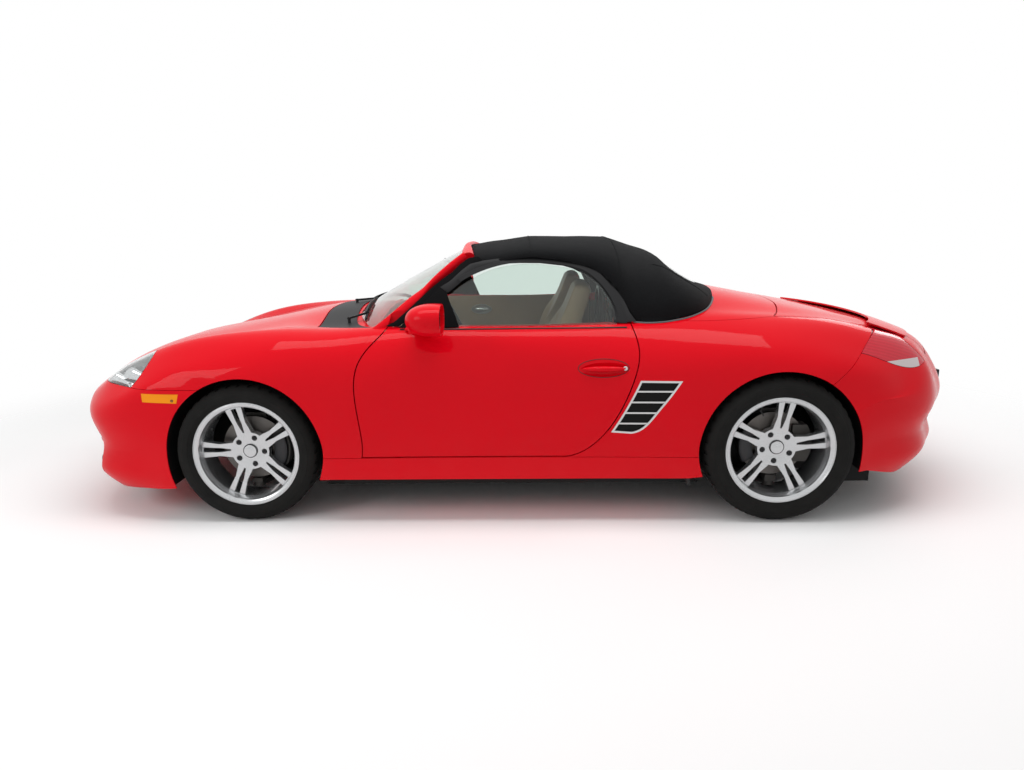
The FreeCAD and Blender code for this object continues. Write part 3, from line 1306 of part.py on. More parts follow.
def make_mirror():
    """Left-hand door mirror: teardrop housing hollowed at the back for its glass, on a low foot."""
    centre = place(*mirror_shares[0])
    length = mirror_length * 1.04
    nose = centre.x - mirror_length * 0.72
    rings = [mirror_ring(centre, nose + length * step, size) for step, size in mirror_section_shares]
    shell = Part.makeLoft(rings, True)
    face = nose + length
    dish = Part.Face(mirror_ring(centre, face + fit_gap, 0.88)).extrude(Vector(-mirror_length * 0.08, 0, 0))
    foot = place(*mirror_foot_shares[0])
    arm = box(foot.x, foot.x + mirror_length * 0.62, centre.y, foot.y, foot.z + fit_gap * 12,
            foot.z + mirror_height * 0.22)
    arm = arm.makeFillet(mirror_height * 0.07, arm.Edges)
    plinth = ellipsoid(foot + Vector(mirror_length * 0.3, 0, mirror_height * 0.05), mirror_length * 0.55,
            mirror_width * 0.12, mirror_height * 0.16)
    plinth = plinth.common(above(0.972))
    return [shell.cut(dish), joined([arm, plinth]).cut(shell)]


def mirror_ring(centre, x, size):
    """Upright rounded section of the mirror housing."""
    points = []
    for step in range(mirror_ring_points):
        angle = 2 * math.pi * step / mirror_ring_points
        wide = math.copysign(abs(math.cos(angle)) ** mirror_square, math.cos(angle))
        high = math.copysign(abs(math.sin(angle)) ** mirror_square, math.sin(angle))
        points.append(Vector(x, centre.y + wide * size * mirror_width / 2,
                centre.z + high * size * mirror_height / 2))
    curve = Part.BSplineCurve()
    curve.interpolate(Points=points, PeriodicFlag=True)
    return Part.Wire([curve.toShape()])


def make_spoiler():
    """Raised lip across the tail."""
    half = [Vector(along(x), -out(y), up(z)) for x, y, z in spoiler_shares]
    line = half + [Vector(p.x, -p.y, p.z) for p in reversed(half[:-1])]
    rows = []
    for shift_x, shift_z in ((0.0, 0.0), (-spoiler_chord / 2, spoiler_chord * 0.19),
    (-spoiler_chord, spoiler_chord * 0.36)):
        rows.append([p + Vector(shift_x, 0, shift_z) for p in line])
    return thick_patch(rows, spoiler_thickness, lambda p: Vector(p.x, p.y, 0))


def make_intake(skin_whole):
    """Left-hand side intake: frame round the opening with its bars."""
    outer = side_prism(intake_runs_shares, out(0.80), -fit_gap)
    inner = side_prism(intake_runs_shares, out(0.80), -intake_frame)
    low, high = up(intake_runs_shares[1][-1][1]), up(intake_runs_shares[0][0][1])
    bars = []
    for k in range(intake_bars):
        z = low + (high - low) * (k + 1) / (intake_bars + 1)
        bars.append(box(along(0.30), along(0.70), -half_width - overrun, -out(0.80), z - intake_bar / 2,
                z + intake_bar / 2))
    grid = joined([outer.cut(inner)] + [bar.common(outer) for bar in bars])
    return skin_whole.common(grid)


def make_wipers(outer):
    """Two arms on the cowl, each with a blade resting on the glass."""
    grid = screen_grid()
    blades = thick_patch(offset_rows(grid, -blade_height - fit_gap / 2, screen_side), blade_height,
            screen_side)
    arms = thick_patch(offset_rows(grid, -2 * blade_height, screen_side), blade_height * 1.2, screen_side)
    wipers = []
    for root, knee, near, far in zip(wiper_root_shares, wiper_knee_shares, wiper_near_shares,
            wiper_far_shares):
        blade = blades.common(strip(near, far, blade_width))
        arm = arms.common(strip(knee, middle_of(near, far), arm_width))
        spindle_at = place(*root)
        spindle = Part.makeCylinder(arm_width / 2, 2 * arm_width, spindle_at,
                Vector(0, 0, 1)).cut(raised(outer, fit_gap))
        knee_low = place(*knee)
        head = spindle_at + Vector(0, 0, 1.6 * arm_width)
        reach = (knee_low - head).Length + arm_width
        link = box(-arm_width / 2, reach, -arm_width / 2, arm_width / 2, -blade_height / 2,
                blade_height / 2)
        link.Placement = Placement(head, Rotation(Vector(1, 0, 0), knee_low - head))
        link = link.cut(raised(outer, fit_gap))
        wipers.append(pieces(joined([blade, arm, spindle, link]))[0])
    save("wipers", *wipers)


def strip(start, end, width):
    """Upright wall along a line seen from above."""
    a, b = Vector(along(start[0]), -out(start[1]), 0), Vector(along(end[0]), -out(end[1]), 0)
    side = (b - a).cross(Vector(0, 0, 1)).normalize() * (width / 2)
    ring = Part.makePolygon([a + side, b + side, b - side, a - side, a + side])
    return Part.Face(ring).extrude(rise)


def middle_of(first, second):
    return ((first[0] + second[0]) / 2, (first[1] + second[1]) / 2)


def make_outside(outer, slot, skin_whole):
    blades = make_intake(skin_whole)
    save("side_intakes", *both(blades))
    body = raised(outer, fit_gap)
    mirror = [cut_each(piece, [body, slot]) for piece in make_mirror()]
    save("left_mirror", *mirror)
    save("right_mirror", *[mirrored(piece) for piece in mirror])
    save("rear_spoiler", make_spoiler().cut(body))
    make_wipers(outer)
    hoop = make_hoop()
    save("roll_hoops", *both(hoop))


# Underneath
def make_under():
    engine = rounded(along(0.46), along(0.90), -out(0.36), out(0.36), up(0.22) + fit_gap, up(0.76),
            seat_round)
    save("engine", engine)
    muffler = rounded(behind(0.50), behind(0.78), -out(0.48), out(0.48), up(0.26), up(0.44), seat_round)
    pipes = [Part.makeCylinder(overrun, behind(1.0) - behind(0.70),
            Vector(behind(0.70), side * out(0.055), up(0.27)), Vector(1, 0, 0)) for side in (-1, 1)]
    hangers = [box(behind(0.60), behind(0.64), side * out(0.36) - hanger_half,
            side * out(0.36) + hanger_half, up(0.43), up(0.475)) for side in (-1, 1)]
    save("exhaust", joined([muffler] + pipes + hangers))


def main():
    rows = body_stations()
    outer = solid_under(surface_through(rows))
    core = shrunk_body(rows, sheet + 2.1 * fit_gap)
    arches = [
        arch(front_axle, front_tyre_radius, front_arch_radius, 0),
        arch(rear_axle, rear_tyre_radius, rear_arch_radius, 0),
    ]
    skin = cut_each(thick_patch(rows, sheet, heart), [hem_cutter()] + arches)
    deep = thick_patch(rows, lid_thickness, heart)
    make_panels(skin, deep)
    glass_slab = thick_patch(glass_rows(window_runs_shares), glass_thickness, middle)
    glass = glass_slab.common(side_prism(window_runs_shares))
    slot = grown_patch(glass_rows(window_runs_shares), glass_thickness, middle)
    slot = slot.common(side_prism(window_runs_shares, 0, 2 * fit_gap))
    door = make_door(outer, core, slot, deep)
    for name, shapes in zip(("left_", "right_"), zip(both(door), both(glass), both(make_trim()),
            both(make_handle(outer)))):
        for part, shape in zip(("door", "door_glass", "door_trim", "handle"), shapes):
            save(name + part, shape)
    roof = thick_patch(roof_rows(), cloth_thickness, roof_side).cut(raised(outer, fit_gap))
    window_wire = periodic(rear_window_shares)
    save("soft_top", roof.cut(prism(window_wire, rise)))
    save("rear_window", roof.common(prism(window_wire, rise, -fit_gap)))
    rail = make_rail().cut(raised(outer, shut_gap)).cut(grown_patch(roof_rows(), cloth_thickness,
            roof_side))
    save("top_rails", *both(rail))
    bed = thick_patch(rows, lid_thickness + 2.1 * fit_gap, heart).common(above(low_lid_share))
    seats = [
        plan_prism(panel_outline(hood_half_shares, hood_rear_shares)).common(bed),
        plan_prism(panel_outline(lid_side_shares, lid_rear_shares, cover_rear_shares)).common(bed),
    ]
    lamp_wire = periodic(lamp_ring_shares)
    pocket = prism(lamp_wire, rise, -lamp_wall).cut(raised(core, -lamp_depth))
    core_cut = cut_each(core, front_openings(0) + both(light_slot(0).common(box(ahead(2),
            opening_rear - lamp_depth, -half_width, 0, 0, deck_height))) + both(pocket))
    screen = thick_patch(screen_grid(), glass_thickness, screen_side)
    slots = [
        grown_patch(screen_grid(), glass_thickness, screen_side),
        grown_patch(roof_rows(), cloth_thickness, roof_side),
        slot, mirrored(slot),
    ]
    shell = make_shell(core_cut, seats, slots)
    make_grilles(core)
    make_lamp_bowls(core)
    save("body_shell", shell)
    save("windshield", screen)
    make_running_gear(core)
    make_cabin()
    make_outside(outer, slot, thick_patch(rows, intake_depth, heart))
    make_under()


main()
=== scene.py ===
import bpy
import math
from mathutils import Matrix, Vector


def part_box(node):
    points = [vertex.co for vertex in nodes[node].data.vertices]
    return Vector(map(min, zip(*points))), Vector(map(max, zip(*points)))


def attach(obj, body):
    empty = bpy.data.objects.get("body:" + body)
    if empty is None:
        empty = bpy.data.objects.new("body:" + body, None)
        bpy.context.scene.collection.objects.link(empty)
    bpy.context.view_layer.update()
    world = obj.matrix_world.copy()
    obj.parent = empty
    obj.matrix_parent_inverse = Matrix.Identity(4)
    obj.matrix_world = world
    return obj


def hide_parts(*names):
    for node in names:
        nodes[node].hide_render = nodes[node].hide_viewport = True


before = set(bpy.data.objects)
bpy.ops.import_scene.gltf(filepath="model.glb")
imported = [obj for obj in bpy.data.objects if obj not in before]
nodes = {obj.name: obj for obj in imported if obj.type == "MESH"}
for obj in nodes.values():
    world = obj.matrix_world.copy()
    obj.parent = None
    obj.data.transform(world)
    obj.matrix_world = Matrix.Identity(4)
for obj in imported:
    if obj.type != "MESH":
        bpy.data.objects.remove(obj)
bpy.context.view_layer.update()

sides = {"left": -1, "right": 1}
wheels = {  # axle along, tyre radius, half track, tyre width, bolt face from the middle
    "front": dict(x=-1.246, radius=0.323, track=0.745, width=0.235, face=0.7870),
    "rear": dict(x=1.169, radius=0.334, track=0.765, width=0.262, face=0.8178),
}
rimRadius = 0.246
bodyHalf = 0.8  # taken for the outside where a ray meets nothing
meshFit = dict(
    bevelAngle=30, smoothAngle=35, cadAngle=25, weld=0.00005, outlineWeld=0.0002, probeHeight=0.9,
    tubeAngle=50, tubeSteps=6, tubeSides=3,
)


# small helpers

def clearSelection():
    if bpy.context.object and bpy.context.object.mode != "OBJECT":
        bpy.ops.object.mode_set(mode="OBJECT")
    bpy.ops.object.select_all(action="DESELECT")


def makeActive(obj):
    clearSelection()
    obj.select_set(True)
    bpy.context.view_layer.objects.active = obj


def editMesh(obj, mode="FACE"):
    makeActive(obj)
    bpy.ops.object.mode_set(mode="EDIT")
    bpy.ops.mesh.select_mode(type=mode)


def leaveEdit():
    bpy.ops.object.mode_set(mode="OBJECT")


def selectAll(action="SELECT"):
    bpy.ops.mesh.select_all(action=action)


def faceOutward():
    selectAll()
    bpy.ops.mesh.normals_make_consistent(inside=False)


def weld(distance):
    selectAll()
    bpy.ops.mesh.remove_doubles(threshold=distance)


def fillFace():
    selectAll()
    bpy.ops.mesh.edge_face_add()


def pushOut(offset):
    bpy.ops.mesh.extrude_region_move(TRANSFORM_OT_translate={"value": offset})


def pickFaces(obj, wanted):  # leaves the object in edit mode with just these faces selected
    editMesh(obj)
    selectAll("DESELECT")
    leaveEdit()
    for face in obj.data.polygons:
        face.select = bool(wanted(face))
    bpy.ops.object.mode_set(mode="EDIT")


def named(name):
    obj = bpy.context.object
    obj.name = name
    obj.data.name = name
    return obj


def settle(obj):
    makeActive(obj)
    bpy.ops.object.transform_apply(location=True, rotation=True, scale=True)
    return obj


def shadeSmooth(angle):
    bpy.ops.object.shade_smooth_by_angle(angle=math.radians(angle))


def finishMesh(obj, bevel=0.0, segments=2, subsurf=0, angle=meshFit["smoothAngle"]):
    makeActive(obj)
    if bevel:
        mod = obj.modifiers.new("edges", "BEVEL")
        mod.width = bevel
        mod.segments = segments
        mod.limit_method = "ANGLE"
        mod.angle_limit = math.radians(meshFit["bevelAngle"])
        bpy.ops.object.modifier_apply(modifier=mod.name)
    if subsurf:
        mod = obj.modifiers.new("smooth", "SUBSURF")
        mod.levels = mod.render_levels = subsurf
        bpy.ops.object.modifier_apply(modifier=mod.name)
    shadeSmooth(angle)
    return obj


def block(name, low, high, bevel, segments=2):
    low, high = Vector(low), Vector(high)
    clearSelection()
    bpy.ops.mesh.primitive_cube_add(size=1, location=(low + high) / 2)
    obj = named(name)
    obj.scale = high - low
    settle(obj)
    return finishMesh(obj, bevel, segments)


def drum(name, centre, radius, depth, bevel, axis="Y", vertices=40):
    clearSelection()
    turn = {"X": (0, math.pi / 2, 0), "Y": (math.pi / 2, 0, 0)}[axis]
    bpy.ops.mesh.primitive_cylinder_add(radius=radius, depth=depth, vertices=vertices, location=centre, rotation=turn)
    obj = settle(named(name))
    return finishMesh(obj, bevel)


def profile(name, points):
    clearSelection()
    bpy.ops.mesh.primitive_plane_add(size=0.01, location=points[0])
    obj = settle(named(name))
    editMesh(obj, "VERT")
    selectAll()
    bpy.ops.mesh.merge(type="CENTER")
    for here, there in zip(points, points[1:]):
        pushOut(Vector(there) - Vector(here))
    leaveEdit()
    return obj


def lathe(name, points, centre, steps=96, axis=(0, 1, 0)):
    obj = profile(name, points)
    editMesh(obj, "VERT")
    selectAll()
    bpy.ops.mesh.spin(steps=steps, angle=2 * math.pi, center=centre, axis=axis)
    weld(meshFit["weld"])
    bpy.ops.mesh.normals_make_consistent(inside=False)
    leaveEdit()
    shadeSmooth(meshFit["smoothAngle"])
    return obj


def joinAll(name, objs):
    makeActive(objs[0])
    for obj in objs:
        obj.select_set(True)
    if len(objs) > 1:
        bpy.ops.object.join()
    return named(name)


def copyOf(obj, name):
    clearSelection()
    new = obj.copy()
    new.data = obj.data.copy()
    new.name = new.data.name = name
    bpy.context.scene.collection.objects.link(new)
    return new


def tube(name, points, radius, cyclic=False):
    curve = bpy.data.curves.new(name, "CURVE")
    curve.dimensions = "3D"
    spline = curve.splines.new("NURBS")
    spline.points.add(len(points) - 1)
    for spot, point in zip(spline.points, points):
        spot.co = (*point, 1)
    spline.order_u = min(3, len(points))
    spline.use_cyclic_u = cyclic
    spline.use_endpoint_u = not cyclic
    spline.resolution_u = meshFit["tubeSteps"]
    curve.bevel_depth = radius
    curve.bevel_resolution = meshFit["tubeSides"]
    curve.use_fill_caps = True
    obj = bpy.data.objects.new(name, curve)
    bpy.context.scene.collection.objects.link(obj)
    makeActive(obj)
    bpy.ops.object.convert(target="MESH")
    obj = bpy.context.object
    shadeSmooth(meshFit["tubeAngle"])
    return obj


def panel(name, outline, depthAt, thickness, bevel=0.0015):  # outline in x and z, set at the depth of each height
    shape = profile(name, [(x, 0.0, z) for x, z in outline] + [(outline[0][0], 0.0, outline[0][1])])
    editMesh(shape, "VERT")
    weld(meshFit["outlineWeld"])
    fillFace()
    pushOut((0, thickness, 0))
    faceOutward()
    leaveEdit()
    for vertex in shape.data.vertices:
        vertex.co.y += depthAt(vertex.co.z)
    if depthAt(meshFit["probeHeight"]) > 0:  # on the right side the plate grew outward from the inside
        editMesh(shape)
        faceOutward()
        leaveEdit()
    return finishMesh(shape, bevel)


def clamped(value):
    return min(max(value, 0), 1)


def surfaceY(node, x, z, sign):  # where the outside of a CAD node is met from the side
    met, place = nodes[node].ray_cast((x, sign * 2.0, z), (0, -sign, 0))[:2]
    return place.y if met else sign * bodyHalf


def dress(obj, material, body="chassis"):
    obj.data.materials.clear()
    obj.data.materials.append(material)
    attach(obj, body)
    return obj


# shared effects

def newGroup(name, inputs, outputs):
    tree = bpy.data.node_groups.new(name, "ShaderNodeTree")
    for label, kind, value in inputs:
        socket = tree.interface.new_socket(label, in_out="INPUT", socket_type="NodeSocket" + kind)
        socket.default_value = value
    for label, kind in outputs:
        tree.interface.new_socket(label, in_out="OUTPUT", socket_type="NodeSocket" + kind)
    return tree, tree.nodes.new("NodeGroupInput"), tree.nodes.new("NodeGroupOutput")


def add(tree, kind, **values):
    node = tree.nodes.new("ShaderNode" + kind)
    for key, value in values.items():
        if hasattr(node, key):
            setattr(node, key, value)
        else:
            node.inputs[key.replace("_", " ")].default_value = value
    return node


def objectPlace(tree):
    return add(tree, "TexCoord").outputs["Object"]


def wire(tree, *pairs):
    for source, target in pairs:
        tree.links.new(source, target)


def feed(tree, value, socket):  # a socket takes another's output or a fixed value
    if hasattr(value, "is_output"):
        tree.links.new(value, socket)
    else:
        socket.default_value = value


def mathNode(tree, operation, first, second):
    node = add(tree, "Math", operation=operation)
    feed(tree, first, node.inputs[0])
    feed(tree, second, node.inputs[1])
    return node.outputs[0]


def blendColours(tree, mask, first, second):
    node = add(tree, "Mix", data_type="RGBA")
    for place, value in ((0, mask), (6, first), (7, second)):
        feed(tree, value, node.inputs[place])
    return node.outputs[2]


def makeGrainGroup():
    tree, start, end = newGroup(
        "grainRelief", [("Scale", "Float", 900.0), ("Strength", "Float", 0.2), ("Roundness", "Float", 0.0)],
        [("Normal", "Vector"), ("Mask", "Float")])
    where = objectPlace(tree)
    noise = add(tree, "TexNoise", Detail=3.0, Roughness=0.55)
    cells = add(tree, "TexVoronoi", feature="SMOOTH_F1")
    for node in (noise, cells):
        wire(tree, (where, node.inputs["Vector"]), (start.outputs["Scale"], node.inputs["Scale"]))
    height = add(tree, "Mix", data_type="FLOAT")
    bump = add(tree, "Bump", Distance=0.0006)
    wire(tree,
         (start.outputs["Roundness"], height.inputs[0]),
         (noise.outputs["Fac"], height.inputs[2]),
         (cells.outputs["Distance"], height.inputs[3]),
         (start.outputs["Strength"], bump.inputs["Strength"]),
         (height.outputs[0], bump.inputs["Height"]),
         (bump.outputs[0], end.inputs["Normal"]),
         (height.outputs[0], end.inputs["Mask"]))
    return tree


def makePatchGroup():
    tree, start, end = newGroup(
        "patchyTint", [("Color", "Color", (1, 1, 1, 1)), ("Darker", "Color", (0, 0, 0, 1)),
                       ("Scale", "Float", 6.0), ("Amount", "Float", 0.15)],
        [("Color", "Color")])
    where = objectPlace(tree)
    noise = add(tree, "TexNoise", Detail=4.0)
    wire(tree, (where, noise.inputs["Vector"]), (start.outputs["Scale"], noise.inputs["Scale"]))
    share = mathNode(tree, "MULTIPLY", noise.outputs["Fac"], start.outputs["Amount"])
    wire(tree, (blendColours(tree, share, start.outputs["Color"], start.outputs["Darker"]), end.inputs["Color"]))
    return tree


def makeDustGroup():
    tree, start, end = newGroup(
        "roadDust", [("Color", "Color", (1, 1, 1, 1)), ("Dust", "Color", (0.25, 0.22, 0.19, 1)),
                     ("Top", "Float", 0.35), ("Amount", "Float", 0.25)],
        [("Color", "Color")])
    where = objectPlace(tree)
    apart = add(tree, "SeparateXYZ")
    noise = add(tree, "TexNoise", Scale=9.0, Detail=5.0)
    wire(tree, (where, apart.inputs[0]), (where, noise.inputs["Vector"]))
    clear = add(tree, "Clamp")
    height = mathNode(tree, "DIVIDE", apart.outputs["Z"], start.outputs["Top"])
    wire(tree, (mathNode(tree, "SUBTRACT", 1.0, height), clear.inputs[0]))
    patches = mathNode(tree, "MULTIPLY", clear.outputs[0], noise.outputs["Fac"])
    mask = mathNode(tree, "MULTIPLY", patches, start.outputs["Amount"])
    wire(tree, (blendColours(tree, mask, start.outputs["Color"], start.outputs["Dust"]), end.inputs["Color"]))
    return tree


def makeWeaveGroup():
    tree, start, end = newGroup(
        "twillWeave", [("Color", "Color", (0, 0, 0, 1)), ("Thread", "Color", (0.05, 0.05, 0.05, 1)),
                       ("Scale", "Float", 420.0), ("Strength", "Float", 0.4)],
        [("Color", "Color"), ("Normal", "Vector")])
    where = objectPlace(tree)
    warp = add(tree, "TexWave", wave_type="BANDS", bands_direction="DIAGONAL", Distortion=0.6, Detail=1.0)
    weft = add(tree, "TexWave", wave_type="BANDS", bands_direction="X", Distortion=0.3, Detail=1.0)
    for node in (warp, weft):
        wire(tree, (where, node.inputs["Vector"]), (start.outputs["Scale"], node.inputs["Scale"]))
    height = mathNode(tree, "MULTIPLY", warp.outputs["Fac"], weft.outputs["Fac"])
    bump = add(tree, "Bump", Distance=0.0008)
    wire(tree,
         (start.outputs["Strength"], bump.inputs["Strength"]),
         (height, bump.inputs["Height"]),
         (blendColours(tree, height, start.outputs["Color"], start.outputs["Thread"]), end.inputs["Color"]),
         (bump.outputs[0], end.inputs["Normal"]))
    return tree


def makeZoneGroup():
    tree, start, end = newGroup(
        "boxZone", [("Low", "Vector", (0, 0, 0)), ("High", "Vector", (1, 1, 1))], [("Mask", "Float")])
    where = objectPlace(tree)
    above = add(tree, "VectorMath", operation="SUBTRACT")
    under = add(tree, "VectorMath", operation="SUBTRACT")
    least = add(tree, "VectorMath", operation="MINIMUM")
    apart = add(tree, "SeparateXYZ")
    wire(tree,
         (where, above.inputs[0]),
         (start.outputs["Low"], above.inputs[1]),
         (start.outputs["High"], under.inputs[0]),
         (where, under.inputs[1]),
         (above.outputs[0], least.inputs[0]),
         (under.outputs[0], least.inputs[1]),
         (least.outputs[0], apart.inputs[0]))
    lowest = mathNode(tree, "MINIMUM", apart.outputs[0], apart.outputs[1])
    lowest = mathNode(tree, "MINIMUM", lowest, apart.outputs[2])
    wire(tree, (mathNode(tree, "GREATER_THAN", lowest, 0.0), end.inputs["Mask"]))
    return tree


def makeRadialGroup():
    tree, start, end = newGroup(
        "turnedRings", [("Centre", "Vector", (0, 0, 0)), ("Scale", "Float", 400.0), ("Strength", "Float", 0.2)],
        [("Normal", "Vector")])
    where = objectPlace(tree)
    off = add(tree, "VectorMath", operation="SUBTRACT")
    flat = add(tree, "VectorMath", operation="MULTIPLY")
    flat.inputs[1].default_value = (1, 0, 1)
    size = add(tree, "VectorMath", operation="LENGTH")
    bump = add(tree, "Bump", Distance=0.0005)
    wave = add(tree, "Math", operation="SINE")
    wire(tree,
         (where, off.inputs[0]),
         (start.outputs["Centre"], off.inputs[1]),
         (off.outputs[0], flat.inputs[0]),
         (flat.outputs[0], size.inputs[0]),
         (mathNode(tree, "MULTIPLY", size.outputs["Value"], start.outputs["Scale"]), wave.inputs[0]),
         (start.outputs["Strength"], bump.inputs["Strength"]),
         (wave.outputs[0], bump.inputs["Height"]),
         (bump.outputs[0], end.inputs["Normal"]))
    return tree


grainRelief = makeGrainGroup()
patchyTint = makePatchGroup()
roadDust = makeDustGroup()
twillWeave = makeWeaveGroup()
boxZone = makeZoneGroup()
turnedRings = makeRadialGroup()
print("shared effects ready")


# materials

def rgba(colour):
    return (*colour, 1.0)


def newMaterial(name, **values):
    material = bpy.data.materials.new(name)
    material.use_nodes = True
    shader = material.node_tree.nodes["Principled BSDF"]
    for key, value in values.items():
        label = key.replace("_", " ")
        shader.inputs[label].default_value = rgba(value) if isinstance(value, tuple) and len(value) == 3 else value
    return material, material.node_tree, shader


def useGroup(tree, group, **values):
    node = tree.nodes.new("ShaderNodeGroup")
    node.node_tree = group
    for key, value in values.items():
        socket = node.inputs[key]
        feed(tree, rgba(value) if socket.type == "RGBA" and isinstance(value, tuple) else value, socket)
    return node


def tinted(tree, shader, base, darker, scale, amount):  # the base colour, patchily darker
    tint = useGroup(tree, patchyTint, Color=base, Darker=darker, Scale=scale, Amount=amount)
    wire(tree, (tint.outputs["Color"], shader.inputs["Base Color"]))
    return tint.outputs["Color"]


def dimmed(colour, share):
    return tuple(c * share for c in colour)


def grainy(tree, shader, scale, strength, roundness=0.0):
    grain = useGroup(tree, grainRelief, Scale=scale, Strength=strength, Roundness=roundness)
    wire(tree, (grain.outputs["Normal"], shader.inputs["Normal"]))
    return grain


paintLook = dict(
    base=(0.68, 0.0010, 0.0088), shade=(0.48, 0.0008, 0.0058), peelScale=160.0, peel=0.004, dust=0.08, dustTop=0.42,
)


def makePaint():
    material, tree, shader = newMaterial(
        "redPaint", Roughness=0.5, Coat_Weight=0.55, Coat_Roughness=0.03, Coat_IOR=1.25, Specular_IOR_Level=0.02)
    colour = tinted(tree, shader, paintLook["base"], paintLook["shade"], scale=2.0, amount=0.25)
    dust = useGroup(tree, roadDust, Color=colour, Top=paintLook["dustTop"], Amount=paintLook["dust"])
    wire(tree, (dust.outputs["Color"], shader.inputs["Base Color"]))
    grainy(tree, shader, paintLook["peelScale"], paintLook["peel"])
    return material


shellZones = (  # low corner, high corner, colour
    ((-2.2, -1.0, 0.0), (2.2, 1.0, 0.155), (0.018, 0.018, 0.018)),  # underside
    ((-0.70, -0.698, 0.16), (0.56, 0.698, 0.862), (0.16, 0.105, 0.062)),  # cabin
    ((-1.99, -0.40, 0.25), (-1.15, 0.40, 0.74), (0.02, 0.02, 0.021)),  # front trunk
    ((1.39, -0.43, 0.44), (1.89, 0.43, 0.76), (0.02, 0.02, 0.021)),  # rear trunk
    ((-2.18, -0.86, 0.15), (-1.93, 0.86, 0.42), (0.02, 0.02, 0.021)),  # behind the front grilles
    ((-1.68, -0.90, 0.0), (-0.84, 0.90, 0.715), (0.012, 0.012, 0.012)),  # front arches
    ((0.76, -0.90, 0.0), (1.64, 0.90, 0.725), (0.012, 0.012, 0.012)),  # rear arches
    ((1.50, -0.90, 0.0), (2.12, 0.90, 0.27), (0.012, 0.012, 0.012)),  # under the tail
    ((0.40, -0.90, 0.40), (0.75, 0.90, 0.68), (0.006, 0.006, 0.006)),  # behind the side intakes: near black, painted shade deep inside the intake openings
    ((-2.12, -0.82, 0.43), (-1.67, -0.515, 0.80), (0.30, 0.31, 0.31)),  # around the lamp bowls
    ((-2.12, 0.515, 0.43), (-1.67, 0.82, 0.80), (0.30, 0.31, 0.31)),
    ((1.49, -0.80, 0.64), (1.92, -0.52, 0.86), (0.10, 0.002, 0.003)),  # behind the tail lamps
    ((1.49, 0.52, 0.64), (1.92, 0.80, 0.86), (0.10, 0.002, 0.003)),
)


def makeShellLook():
    material, tree, shader = newMaterial(
        "bodyShellPaint", Roughness=0.5, Coat_Weight=0.4, Coat_Roughness=0.12, Coat_IOR=1.2, Specular_IOR_Level=0.05)
    colour = tinted(tree, shader, paintLook["base"], paintLook["shade"], scale=5.0, amount=0.3)
    for low, high, inside in shellZones:
        zone = useGroup(tree, boxZone, Low=low, High=high)
        colour = blendColours(tree, zone.outputs["Mask"], colour, rgba(inside))
    wire(tree, (colour, shader.inputs["Base Color"]))
    grainy(tree, shader, scale=500.0, strength=0.05)
    return material


def makePlastic(name, base, roughness=0.55, scale=1100.0, strength=0.25, **more):
    material, tree, shader = newMaterial(name, Roughness=roughness, **more)
    tinted(tree, shader, base, dimmed(base, 0.5), scale=7.0, amount=0.4)
    grainy(tree, shader, scale, strength)
    return material


def makeMetal(name, base, roughness, scale=700.0, strength=0.06, metallic=1.0, **more):
    material, tree, shader = newMaterial(name, Metallic=metallic, **more)
    tinted(tree, shader, base, dimmed(base, 0.6), scale=12.0, amount=0.35)
    grain = grainy(tree, shader, scale, strength)
    rough = add(tree, "MapRange", To_Min=roughness * 0.8, To_Max=roughness * 1.25)
    wire(tree, (grain.outputs["Mask"], rough.inputs[0]), (rough.outputs[0], shader.inputs["Roughness"]))
    return material


def makeCloth():
    material, tree, shader = newMaterial(
        "blackTwill", Roughness=0.95, Sheen_Weight=0.03, Sheen_Roughness=0.4, Specular_IOR_Level=0.08)
    weave = useGroup(
        tree, twillWeave, Color=(0.0030, 0.0033, 0.0038), Thread=(0.009, 0.0096, 0.0108), Scale=260.0, Strength=0.5)
    tinted(tree, shader, weave.outputs["Color"], (0.02, 0.019, 0.019), scale=3.0, amount=0.25)
    wire(tree, (weave.outputs["Normal"], shader.inputs["Normal"]))
    return material


def makeLeather(name, base):
    material, tree, shader = newMaterial(name, Roughness=0.5, Sheen_Weight=0.05)
    tinted(tree, shader, base, dimmed(base, 0.45), scale=9.0, amount=0.35)
    grainy(tree, shader, scale=520.0, strength=0.35, roundness=0.75)
    return material


def makeGlass(name, base):
    material, tree, shader = newMaterial(name, Roughness=0.0, IOR=1.45, Transmission_Weight=1.0)
    tinted(tree, shader, base, dimmed(base, 0.9), scale=3.0, amount=0.2)
    return material


def makeTurned(name, end, base, darker, patches, rings, relief, **values):  # fine rings about a wheel's axle
    wheel = wheels[end]
    material, tree, shader = newMaterial(f"{name}_{end}", **values)
    turned = useGroup(tree, turnedRings, Centre=(wheel["x"], 0, wheel["radius"]), Scale=rings, Strength=relief)
    tinted(tree, shader, base, darker, scale=patches, amount=0.5)
    wire(tree, (turned.outputs["Normal"], shader.inputs["Normal"]))
    return material


def makeDisc(end):
    return makeTurned(
        "turnedDisc", end, (0.15, 0.145, 0.14), (0.07, 0.045, 0.03), patches=14.0, rings=5200.0, relief=0.25,
        Metallic=1.0, Roughness=0.32)


def makeTyreLook(end):
    return makeTurned(
        "tyreRubber", end, (0.007, 0.007, 0.007), (0.025, 0.024, 0.022), patches=18.0, rings=2600.0, relief=0.22,
        Roughness=0.85, Specular_IOR_Level=0.12)


